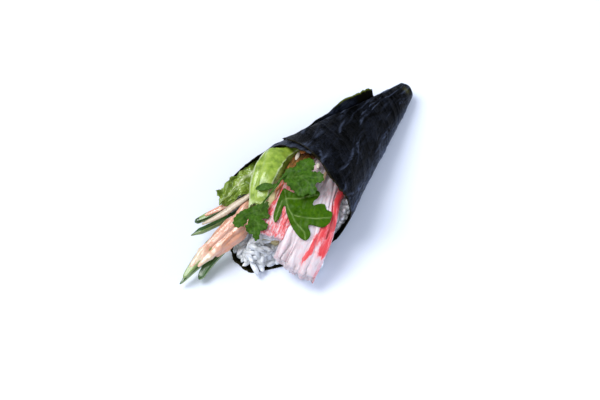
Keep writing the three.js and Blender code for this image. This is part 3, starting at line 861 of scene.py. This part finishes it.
cucumber = {
    "along": 80, "around": 36,
    "sticks": [  # size across and up, turn and half width of the skin, width left at the end
        {"route": [(-32, 11, 22), (-50, 24, 16.7), (-65.8, 36, 11.5)],
         "side": (0.6, 1, 0), "size": (3.3, 3.2), "skin": (2.6, 0.35), "end": 0.6},
        {"route": [(-45, 18.4, 13.4), (-59, 26.8, 10.8), (-71.6, 34.2, 9)],
         "side": (0.6, 1, 0), "size": (2.7, 2.5), "skin": (1.3, 0.9), "end": 0.1},
        {"route": [(-8, 10, 11), (-50, 16.5, 11.5), (-74, 21.6, 8), (-93.6, 24.8, 3.2)],
         "side": (0, 1, 0), "size": (3.6, 2.8), "skin": (1.7, 1.0), "end": 0.34},
        {"route": [(-10, 7, 8.5), (-50, 15, 10.5), (-73, 19.0, 7.2), (-87.0, 19.0, 3.6)],
         "side": (0, 1, 0.1), "size": (5.0, 3.0), "skin": (1.75, 1.0), "end": 0.62},
        {"route": [(-12, 12, 15.5), (-50, 17.5, 16), (-74, 22.6, 11), (-91.6, 24.2, 5.8)],
         "side": (0, 1, 0), "size": (4.6, 2.6), "skin": (0.5, 0.3), "end": 0.5},
    ],
}


def cucumberPaint():
    paint = Paint("cucumberFlesh")
    skin = paint.mark("skin")
    streak = paint.noise(1.2, 4, 0.6, paint.stretched(paint.mark("strand", "Vector"), 0.12, 1.0, 1.0))
    flesh = paint.ramp(streak, (0.3, (0.14, 0.24, 0.05)), (0.7, (0.34, 0.43, 0.17)))
    peel = paint.ramp(streak, (0.3, (0.010, 0.045, 0.008)), (0.7, (0.055, 0.14, 0.022)))
    colour = paint.blend((skin + (streak - 0.5) * 0.4).between(0.35, 0.65), flesh, peel)
    return paint.done(Base_Color=colour, Roughness=0.22, Subsurface_Weight=0.15, Subsurface_Scale=0.0012,
                      Coat_Weight=0.4, Coat_Roughness=0.12, Normal=paint.bump(streak, 0.2, 0.5))


def addCucumber():
    paint = cucumberPaint()
    for number, stick in enumerate(cucumber["sticks"]):
        count = cucumber["along"]
        route, tangent, up, across = framed(stick["route"], stick["side"], count)
        t, a = np.linspace(0, 1, count), circle(cucumber["around"])
        flat = np.maximum(np.abs(np.cos(a)), np.abs(np.sin(a))) ** -0.75
        rounded = np.sqrt(np.clip(1 - ease(t, 0.955, 1.004) ** 2, 0.02, 1))
        taper = mixed(1, stick["end"], ease(t, 0.82, 1)) * rounded
        wobble = 1 + 0.05 * noise(a[None, :] * 2, t[:, None] * 8, number, 15)
        wide = (stick["size"][0] / 2 * taper)[:, None] * (np.cos(a) * flat)[None, :] * wobble
        tall = (stick["size"][1] / 2 * (0.4 + 0.6 * taper))[:, None] * (np.sin(a) * flat)[None, :]
        tall = tall * wobble * rounded[:, None] ** 0.5
        points, faces = capped(swept(route, across, up, wide, tall))
        middle, reach = stick["skin"]
        limit = math.cos(reach)
        skin = ease(np.cos(a - middle), limit - 0.15, limit + 0.15)[None, :]
        darkEnd = ease(t[:, None], 0.9, 0.97) * (number == 0)  # on the first stick only
        skin = np.maximum(skin, darkEnd)
        strand = np.stack([t[:, None] * 60 + 0 * a, wide, tall + number * 11], -1).reshape(-1, 3)
        strand = np.vstack([strand, strand[:1], strand[-1:]])
        marks = {"skin": np.r_[skin.ravel(), 0, 0], "strand": strand}
        name, node = f"cucumberStick{number + 1}", f"cucumber_{number + 1}"
        facingOut(addPiece(name, points, faces, paint, (node,), marks))


addCucumber()
print("stage: cucumber")


lettuceRoll = {
    "route": [(0, 10, 23), (-22, 16.5, 29.5), (-38, 14.8, 29.5), (-52, 10, 22.8)], "side": (0.1, 1, 0.1),
    "halfWidth": (4, 7.6, 7.6, 4.6), "halfHeight": (3, 5, 5.2, 3.2), "thickness": 0.6,
    "turns": (0.1, 2.72),  # where the sheet starts and ends, in half turns from its +Y side
}

lettuceFrill = {
    "root": (-16, 19, 27), "tip": (-55.5, 28.5, 20), "side": (0.35, 0.93, 0.1), "halfWidth": 9.5,
    "thickness": 0.45,
}


def lettucePaint(name, depth):  # depth darkens the whole leaf, as painted shade
    paint = Paint(name)
    pale = paint.mark("pale")
    cells = paint.noise(3.4, 4, 0.55, None, 0.3)
    broad = paint.noise(8, 3)
    fine = paint.noise(0.9, 4, 0.6)
    leafy = paint.ramp(cells, (0.3, (0.12, 0.21, 0.012)), (0.5, (0.25, 0.37, 0.035)),
                       (0.72, (0.40, 0.52, 0.10)))
    rib = paint.ramp(cells, (0.3, (0.42, 0.52, 0.22)), (0.7, (0.64, 0.70, 0.42)))
    colour = paint.blend((pale + (broad - 0.5) * 0.5).between(0.3, 0.8), leafy, rib)
    # painted shade: the whole leaf darker by depth
    colour = paint.blend(depth, colour, (0.05, 0.09, 0.01))
    height = cells * 0.7 + broad * 0.8 + fine * 0.2
    return paint.done(Base_Color=colour, Roughness=0.3, Subsurface_Weight=0.1,
                      Subsurface_Radius=(0.6, 1.0, 0.3), Subsurface_Scale=0.001,
                      Coat_Weight=0.5, Coat_Roughness=0.12, Normal=paint.bump(height, 0.5, 0.7))


def addLettuceRoll(paint):
    count, around = 120, 200
    route, tangent, up, across = framed(lettuceRoll["route"], lettuceRoll["side"], count)
    t = np.linspace(0, 1, count)[:, None]
    turn = np.linspace(*lettuceRoll["turns"], around)[None, :] * math.pi
    wound = (turn - turn.min()) / (turn.max() - turn.min())
    free = ease(wound, 0.86, 1)  # the sheet's outer edge, a little lifted
    ruffle = noise(t * 5, turn * 0.9, seed=21) * 0.13 + noise(t * 11, turn * 1.6, seed=22) * 0.05
    ruffle = ruffle + noise(t * 30, turn * 4, seed=26) * 0.012
    frilled = 0.06 * np.sin(t * 52 + 2 * noise(t * 6, 3, seed=24)) * free
    ridges = 0.02 * np.sin(turn * 8 + t * 3)
    crease = stripe(turn + 0.25 * noise(t * 4, 1, seed=27), 2.3 * math.pi, 0.22)
    crease = 0.13 * crease * ease(t, 0.4, 0.6)
    size = 0.74 + 0.25 * wound ** 0.8 - crease + (ruffle + ridges) * (0.4 + 0.6 * wound)
    size = size + frilled + 0.13 * free
    layers = []
    for side in (0, 1):
        inset = lettuceRoll["thickness"] * side
        wide = (spread(lettuceRoll["halfWidth"], t) * size - inset) * np.cos(turn)
        tall = (spread(lettuceRoll["halfHeight"], t) * size - inset) * np.sin(turn)
        frayed = ease(t, 0.9, 1) * (noise(turn * 2.4, 4, seed=23) * 2.2 - 1.0)
        place = swept(route, across, up, wide, tall) + tangent[:, None, :] * frayed[..., None]
        layers.append(insideCone(place, 0.7 + 0.3 * side, 0.3))
    pale = 1.1 * stripe(turn, 2.1 * math.pi, 0.36) + 0.7 * ease(wound, 0.975, 1) + 0.45 * ease(t, 0.8, 1)
    points, faces = thickSheet(*layers)
    marks = {"pale": np.tile(pale.ravel(), 2)}
    facingOut(addPiece("lettuceRolledLeaf", points, faces, paint, ("lettuce_roll",), marks))


def addLettuceFrill(paint):
    root, tip = np.array(lettuceFrill["root"], float), np.array(lettuceFrill["tip"], float)
    along = unit(tip - root)
    up = unit(np.cross(along, np.array(lettuceFrill["side"], float)))
    up = up * np.sign(up[2])
    across = unit(np.cross(up, along))
    across = across * np.sign(across[1])  # towards the seaweed's +Y wall
    rows, columns = 190, 120
    share = np.linspace(0, 1, rows)[:, None]
    y = np.linspace(-1, 1, columns)[None, :]
    width = lettuceFrill["halfWidth"] * (0.35 + 0.65 * np.sin(np.pi * (0.15 + 0.72 * share)))
    bend = noise(share * 6, y * 1.5, seed=31)
    fold = np.sin(share * 30 + y * 3.5 + 1.9 * bend) * np.abs(y) ** 0.7 * 1.9 * (0.3 + 0.8 * share)
    crumple = noise(share * 18, y * 4.5, seed=32) * 1.0 + noise(share * 44, y * 10, seed=33) * 0.38
    arch = 3 * np.sin(share * np.pi)
    run = share * np.linalg.norm(tip - root) + (noise(y * 5, 2, seed=34) * 2.6 - 1.2) * share ** 3
    high = fold + crumple + arch
    edge = 1 + 0.07 * noise(share * 22, 1, seed=35) + 0.05 * noise(share * 60, 5, seed=36)
    trim = 1 - 0.5 * ease(share, 0.55, 0.95) * (y < 0)
    base = root + along * run[..., None] + across * (y * width * edge * trim)[..., None]
    layers = []
    for side in (0, 1):
        lifted = base + up * (high - side * lettuceFrill["thickness"])[..., None]
        layers.append(insideCone(lifted, 0.8 + side * 0.4, 0.04))
    pale = stripe(y, 0.0, 0.1) * 0.7 + 0.2 * (1 - share)
    pale = pale + 0.35 * np.clip(crumple, 0, 1) * ease(np.abs(y), 0.5, 1)
    points, faces = thickSheet(*layers)
    marks = {"pale": np.tile(pale.ravel(), 2)}
    facingOut(addPiece("lettuceFrill", points, faces, paint, ("lettuce_frill",), marks))


addLettuceRoll(lettucePaint("lettuceHeart", 0.0))
# the frill is the shaded copy of the lettuce: painted shade
addLettuceFrill(lettucePaint("lettuceLeafShaded", 0.34))
print("stage: lettuce")


sauce = {
    "voxel": 0.4, "smoothing": 5, "tail": (-72, -83),  # it turns cream between these X
    "coats": [  # where it clings: route, radius at its start and end, width against height
        ([(-50, 17, 18.5), (-58, 18.4, 17), (-70, 21.5, 13.4), (-80, 23.8, 9.6)], 2.4, 1.5, 1.2),
        ([(-56, 15.6, 15.0), (-66, 18.2, 12.8), (-76.5, 21.4, 9.2)], 3.6, 2.2, 1.15),
        ([(-58, 13.4, 12.6), (-66, 15.8, 11.0), (-74.5, 18.8, 8.2)], 3.0, 2.3, 1.1),
        ([(-57, 20.4, 16.2), (-63, 21.4, 14.6), (-72, 23.4, 11.4)], 2.0, 1.3, 1.1),
        ([(-51, 24.8, 18.2), (-56, 28.4, 16.6), (-62, 32.8, 14.6)], 1.1, 0.8, 1.5),
        ([(-47, 18.4, 20.4), (-52, 18.0, 19.2), (-58, 17.6, 17.2)], 1.4, 1.7, 1.3),
        ([(-73, 22.6, 12.4), (-79.5, 23.4, 10.4), (-86.5, 24.0, 8.0)], 2.0, 1.0, 1.35),
        ([(-71, 17.6, 11.6), (-78, 19.6, 10.2), (-84.0, 21.4, 8.0)], 2.0, 1.0, 1.25),
        ([(-49, 14.5, 15.6), (-53, 13.6, 14.6), (-58, 13.0, 12.8)], 1.8, 2.2, 1.3),
    ],
}


def saucePaint():
    paint = Paint("peachSauce")
    swirl = paint.noise(4.0, 4, 0.55, paint.stretched(paint.place, 0.45, 1.2, 1.0), 0.5)
    colour = paint.ramp(swirl, (0.3, (0.62, 0.27, 0.155)), (0.55, (0.74, 0.38, 0.27)),
                        (0.78, (0.81, 0.54, 0.44)))
    cream = paint.noise(1.7, 4, 0.6, paint.stretched(paint.place, 0.35, 1.0, 1.0), 0.6)
    pale = cream.between(0.56, 0.68) * 0.55 + paint.mark("tail") * (0.3 + cream.between(0.4, 0.55))
    colour = paint.blend(pale, colour, (0.66, 0.54, 0.38))
    return paint.done(Base_Color=colour, Roughness=0.14, Subsurface_Weight=0.12, Subsurface_Scale=0.001,
                      Coat_Weight=1.0, Coat_Roughness=0.05,
                      Normal=paint.bump(swirl + cream * 0.5, 0.8, 0.8))


def remeshed(piece, voxel, rounds):  # melts overlapping shapes into one skin
    modifier = piece.modifiers.new("remesh", "REMESH")
    modifier.mode = "VOXEL"
    modifier.voxel_size = voxel * mm
    modifier.use_smooth_shade = True
    soft = piece.modifiers.new("smooth", "SMOOTH")
    soft.iterations, soft.factor = rounds, 0.5
    bpy.context.view_layer.update()
    baked = bpy.data.meshes.new_from_object(piece.evaluated_get(bpy.context.evaluated_depsgraph_get()))
    piece.modifiers.clear()
    old = piece.data
    piece.data = baked
    bpy.data.meshes.remove(old)
    baked.polygons.foreach_set("use_smooth", [True] * len(baked.polygons))


def addSauce():
    bunch = Bunch()
    for number, (route, first, last, flat) in enumerate(sauce["coats"]):
        count, around = 50, 24
        places, tangent = smoothCurve(route, count)
        side, up = upright(tangent)
        t, a = np.linspace(0, 1, count), circle(around)
        radius = mixed(first, last, t) * np.sqrt(np.sin(np.pi * np.clip(t, 0.03, 0.97)) ** 0.4)
        lumps = 1 + 0.16 * noise(t[:, None] * 6, a[None, :] * 0.8, number, 44)
        lumps = lumps + 0.12 * np.cos(a * 5 + number)[None, :]
        wide = np.cos(a)[None, :] * (radius * flat)[:, None] * lumps
        tall = np.sin(a)[None, :] * (radius * 0.9)[:, None] * lumps
        bunch.add(*capped(swept(places, side, up, wide, tall)))
    piece = bunch.piece("sauceCoat", saucePaint(), "sauce", ("sauce",))
    facingOut(piece)
    remeshed(piece, sauce["voxel"], sauce["smoothing"])
    along = np.array([corner.co.x for corner in piece.data.vertices]) / mm
    tail = piece.data.attributes.new("tail", "FLOAT", "POINT")
    tail.data.foreach_set("value", ease(along, *sauce["tail"]))


addSauce()
print("stage: sauce")


viewRight = unit(np.cross(np.array(view["toward"]), [0, 0, 1.0]))

rocket = {
    "name": "rocketLeaf", "node": "rocket_leaf", "place": (-45.3, -9.8, 26.5),
    "facing": (-0.42, -0.25, 0.87),
    "outline": [
        (-8.5, 11.8), (-6.5, 11), (-3, 9.5), (1.5, 10.6), (6, 11.2), (7.8, 9.8), (7, 7.6), (5.2, 6),
        (4.8, 4), (7.5, 4.8), (10, 4.5), (10.8, 2.2), (13.3, 0.8), (12.9, -1.8), (12, -4),
        (8.8, -6.1), (5, -5.2), (2.6, -5.6), (3.6, -9.3), (1.6, -12), (-1.2, -10.8), (-4, -7.2),
        (-6, -3.2), (-7.2, 0.8), (-7.7, 3.6), (-8.8, 3), (-10.3, -1.6), (-12.3, -3.8), (-13, -0.8),
        (-11.8, 3.9), (-10.3, 8.2),
    ],
    "veins": [
        [(-8, 11), (-7, 5), (-5.4, 1), (-2.4, -1), (5, -2), (12.6, -1.4)],
        [(-5.4, 1), (-3.2, -3.6), (0.6, -8.2), (1.2, -11.5)],
        [(-7.2, 7), (-2, 7), (3, 8.2), (7, 9)],
        [(-9.2, 6), (-11, 1), (-12.3, -3)],
    ],
    "tone": 0.15, "cup": 0.008, "teeth": 0.0, "wavy": 0.8,
}

corianderUpper = {
    "name": "corianderLeafUpper", "node": "coriander_leaf_upper", "place": (-35.5, -3.2, 38),
    "facing": (-0.35, -0.2, 0.9),
    "outline": [
        (-8.9, 0), (-7.2, 3.2), (-4.8, 4.1), (-3, 4.6), (-2.4, 6.2), (0.4, 7.9), (3.2, 8.5),
        (5.4, 7.2), (5.6, 4.4), (4.6, 2.9), (6.4, 2.6), (8.7, 2.2), (9.8, 0), (8.7, -1.7),
        (6, -2.2), (6.5, -4.7), (4.4, -7), (2, -6.4), (0.8, -7.5), (-2, -7), (-3.6, -5.2),
        (-5.5, -4), (-7, -2.4),
    ],
    "veins": [
        [(-8.6, 0), (-3, 0.4), (2, 0.4), (8.4, 0.6)],
        [(-5, 0.2), (-1, 3.2), (3, 7)],
        [(-5, 0), (-1, -3.4), (0.4, -6.6)],
        [(-1, 0.4), (2.8, -2), (4.8, -5)],
    ],
    "tone": 0.6, "cup": 0.012, "teeth": 1.1, "wavy": 1.3, "stretch": (1.0, 1.18),
}

corianderLower = {
    "name": "corianderLeafLower", "node": "coriander_leaf_lower", "place": (-59.5, 7.7, 25),
    "facing": (-0.5, -0.2, 0.84),
    "outline": [
        (6.9, 8.4), (5, 7.9), (2.4, 7.2), (-0.4, 6.3), (-3.6, 5.1), (-6.7, 3.2), (-8.8, 0.8),
        (-8.9, -1.4), (-7.1, -3.1), (-4.5, -2.6), (-2.9, -0.8), (-1.9, 1.2), (-2, -1), (-3.2, -3),
        (-2.1, -5.4), (-0.4, -6.3), (1.2, -9), (2.8, -8.3), (3.5, -5.5), (4.6, -4.4), (5.9, -4.2),
        (6.9, -2), (5.2, -0.4), (4.2, 1.0), (6, 0.8), (7.7, 1.7), (6.7, 3.9), (7.1, 6.3),
    ],
    "veins": [
        [(6.8, 8), (3.2, 4), (1, 0), (1, -8)],
        [(4.4, 5.4), (-1, 3.6), (-8, -0.8)],
        [(3.6, 4.4), (5, 2.4), (6.8, 1.4)],
        [(1.2, 0), (3.4, -2), (5.6, -3)],
    ],
    "tone": 0.6, "cup": 0.010, "teeth": 1.0, "wavy": 1.2,
}

smallLeaf = {
    "name": "smallLeaf", "place": (-44.6, 9.3, 33), "facing": (-0.4, -0.1, 0.9),
    "outline": [
        (-5.6, -1), (-4, 0.8), (-1, 1.6), (2.4, 1), (5.4, 1.6), (3.6, -0.4), (0.8, -1.6),
        (-2.6, -2),
    ],
    "veins": [[(-5, -0.8), (0, 0), (5, 1.2)]], "tone": 1.0, "cup": 0.01, "teeth": 0.2, "wavy": 0.5,
}

stems = [  # name, course, radius at its start and end
    ("corianderStem",
     [(-38.6, 4.2, 37.6), (-42, 4.6, 37), (-48, 4.8, 35.2), (-52, 6.6, 31), (-54.5, 6.4, 28.5)],
     (0.5, 0.4)),
    ("corianderKnot",
     [(-35.5, 2.5, 38.2), (-37.5, 3.6, 38.2), (-39.4, 4.6, 37.4)],
     (0.5, 1.0)),
    ("corianderSprig",
     [(-39.0, 4.2, 37.2), (-39.4, 0.6, 35.4), (-39.6, -3.0, 34.2), (-38.2, -7.5, 33.0)],
     (0.6, 0.35)),
]


def herbPaint():
    paint = Paint("freshHerb")
    tone, vein = paint.mark("tone"), paint.mark("vein")
    mottle = paint.noise(1.5, 4, 0.6)
    broad = paint.noise(6, 2)
    bright = paint.ramp(mottle, (0.3, (0.022, 0.074, 0.000)), (0.7, (0.052, 0.130, 0.001)))
    deep = paint.ramp(mottle, (0.3, (0.015, 0.052, 0.003)), (0.7, (0.066, 0.155, 0.015)))
    leafy = paint.blend((tone + (broad - 0.5) * 0.6).between(0.2, 0.8), bright, deep)
    colour = paint.blend(vein * (0.9 - 1.25 * tone), leafy, (0.26, 0.38, 0.12))
    return paint.done(Base_Color=colour, Roughness=0.42, Specular_IOR_Level=0.1, Subsurface_Weight=0.04,
                      Subsurface_Scale=0.0006, Normal=paint.bump(mottle * 0.6 + vein, 0.25, 0.6))


def supports(*names):
    trees = []
    for name in names:
        mesh = bpy.data.objects[name].data
        corners = [v.co for v in mesh.vertices]
        trees.append(BVHTree.FromPolygons(corners, [list(p.vertices) for p in mesh.polygons]))
    return trees


def leafAxes(facing):
    facing = unit(np.array(facing, float))
    right = unit(viewRight - facing * float(viewRight @ facing))
    return right, np.cross(facing, right), facing


leafMesh = {
    "step": 0.5, "toothLength": 2.1, "thickness": 0.28,
    "lift": 0.6, "clearance": 0.5,  # above what it lies on, before and after its waves
    "reach": 25, "drop": -8.0, "rounds": 25,  # search height, lowest sag, smoothing rounds
}


def flatLeaf(outline, teeth):  # triangles inside a smooth closed outline
    step = leafMesh["step"]
    edge = closedCurve(outline, 8)
    course = np.cumsum(np.linalg.norm(edge - np.roll(edge, 1, axis=0), axis=1))
    saw = np.abs((course / leafMesh["toothLength"]) % 1 - 0.35) - 0.3
    out = np.roll(edge, -1, axis=0) - np.roll(edge, 1, axis=0)
    out = unit(np.stack([-out[:, 1], out[:, 0]], 1))
    edge = edge + out * (saw * teeth)[:, None]
    low, high = edge.min(0), edge.max(0)
    grid = []
    for row, y in enumerate(np.arange(low[1], high[1], step * 0.87)):
        shift = 0.5 * step if row % 2 else 0
        grid += [(x + shift, y) for x in np.arange(low[0], high[0], step)]
    distance = np.array([np.min(np.linalg.norm(edge - np.array(p), axis=1)) for p in grid])
    inner = [p for p, d in zip(grid, distance) if d > step * 0.55]
    corners = [Vector(p) for p in edge.tolist() + inner]
    count = len(edge)
    lines = [(i, (i + 1) % count) for i in range(count)]
    made = delaunay_2d_cdt(corners, lines, [list(range(count))], 1, 1e-4)
    return np.array([tuple(v) for v in made[0]]), [list(f) for f in made[2]]


def addLeaf(leaf, paint, trees):
    points, faces = flatLeaf(leaf["outline"], leaf["teeth"])
    right, up, facing = leafAxes(leaf["facing"])
    origin = np.array(leaf["place"], float)
    vein = np.zeros(len(points))
    for line in leaf["veins"]:
        course, _ = smoothCurve(line, 60)
        away = np.min(np.linalg.norm(points[:, None, :] - course[None, :, :], axis=2), axis=1)
        vein = np.maximum(vein, np.exp(-(away / 0.24) ** 2))
    radius = np.linalg.norm(points, axis=1)
    points = points * np.array(leaf.get("stretch", (1, 1)))
    flat = origin + right * points[:, :1] + up * points[:, 1:]
    reach = leafMesh["reach"]
    bed = np.full(len(points), leafMesh["drop"])
    for i, spot in enumerate(flat):
        for tree in trees:
            hit = tree.ray_cast(Vector((spot + facing * reach) * mm), Vector(-facing), 2 * reach * mm)
            if hit[0] is not None:
                bed[i] = max(bed[i], reach - hit[3] / mm)
    links = [[] for _ in points]
    for face in faces:
        for a, b in zip(face, face[1:] + face[:1]):
            links[a].append(b)
            links[b].append(a)
    high = np.maximum(-leaf["cup"] * radius ** 2, bed + leafMesh["lift"])
    for _ in range(leafMesh["rounds"]):
        mean = np.array([np.mean(high[link]) if link else high[i] for i, link in enumerate(links)])
        high = np.maximum(mean, bed + leafMesh["lift"])
    high = high + leaf["wavy"] * noise(points[:, 0] / 3, points[:, 1] / 3, seed=51) - 0.2 * vein
    top = flat + facing * np.maximum(high, bed + leafMesh["clearance"])[:, None]
    top[:, 2] = np.minimum(top[:, 2], boxHigh[2] - 0.2)
    marks = {"vein": vein, "tone": np.full(len(points), leaf["tone"])}
    stands = (leaf["node"],) if "node" in leaf else ()
    piece = addPiece(leaf["name"], top, faces, paint, stands, marks)
    solid = piece.modifiers.new("thickness", "SOLIDIFY")
    solid.thickness, solid.offset = leafMesh["thickness"] * mm, 0


def addStem(name, route, radius, paint, tone):
    count, around = 50, 10
    places, tangent = smoothCurve(route, count)
    side, up = upright(tangent, (0.2, 0.1, 1.0))
    a = circle(around)
    size = np.linspace(*radius, count) * (1 + 0.15 * noise(np.linspace(0, 9, count), 2, seed=52))
    ring = side[:, None, :] * np.cos(a)[None, :, None] + up[:, None, :] * np.sin(a)[None, :, None]
    points, faces = capped(places[:, None, :] + ring * size[:, None, None])
    marks = {"vein": np.zeros(len(points)), "tone": np.full(len(points), tone)}
    facingOut(addPiece(name, points, faces, paint, (), marks))


herbLook = herbPaint()
beds = supports("crabStickLong", "crabStickShort", "lettuceRolledLeaf", "lettuceFrill", "avocadoSlice",
                "sauceCoat")
for leaf in (rocket, corianderUpper, corianderLower, smallLeaf):
    addLeaf(leaf, herbLook, beds)
for name, route, radius in stems:
    addStem(name, route, radius, herbLook, 1.2)
print("stage: herbs")


bits = [  # course from end to end, half width, hue from 0 (brown) over 0.5 (orange) to 1 (cream)
    ([(-38.6, 5.2, 31.4), (-43, 4.6, 30.4), (-47.4, 3.6, 28.2)], 0.9, 0.1),
    ([(-40.4, 6.4, 30.2), (-44.5, 5.8, 28.8)], 0.8, 0.42),
    ([(-15.5, 8.4, 32.6), (-19.6, 7.6, 33.0)], 1.3, 0.5),
    ([(-18.0, 9.6, 31.6), (-23.4, 8.0, 31.8)], 1.0, 0.95),
    ([(-43, 16.6, 24.2), (-52.6, 22.0, 20.2), (-59.5, 25.8, 16.8), (-66, 31.6, 13.2)], 1.8, 0.82),
    ([(-20.5, -2.2, 33.2), (-23.2, -4.0, 33.0)], 0.9, 1.0),
    ([(-21.8, -7.2, 32.0), (-27.6, -9.6, 31.2)], 0.7, 0.75),
]


def bitPaint():
    paint = Paint("bits")
    mottle = paint.noise(1.2, 4, 0.6)
    hue = paint.mark("hue") + (mottle - 0.5) * 0.3
    colour = paint.ramp(hue, (0.0, (0.14, 0.030, 0.010)), (0.5, (0.62, 0.22, 0.06)),
                        (0.75, (0.42, 0.31, 0.20)), (1.0, (0.80, 0.72, 0.62)))
    return paint.done(Base_Color=colour, Roughness=0.3, Coat_Weight=0.3,
                      Normal=paint.bump(mottle, 0.3, 0.7))


def addBits():
    bunch = Bunch()
    for number, (route, size, hue) in enumerate(bits):
        count, around = 24, 16
        places, tangent = smoothCurve(route, count)
        side, up = upright(tangent)
        t, a = np.linspace(0, 1, count)[:, None], circle(around)[None, :]
        lumps = 1 + 0.25 * noise(t * 4, a * 0.7, number, 61)
        body = size * np.sin(np.pi * np.clip(t, 0.03, 0.97)) ** 0.5 * lumps
        ring = side[:, None, :] * np.cos(a)[..., None] + up[:, None, :] * (0.55 * np.sin(a))[..., None]
        bunch.add(*capped(places[:, None, :] + ring * body[..., None]), hue=hue)
    facingOut(bunch.piece("looseBits", bitPaint(), "sauce"))


addBits()
print("stage: loose bits")
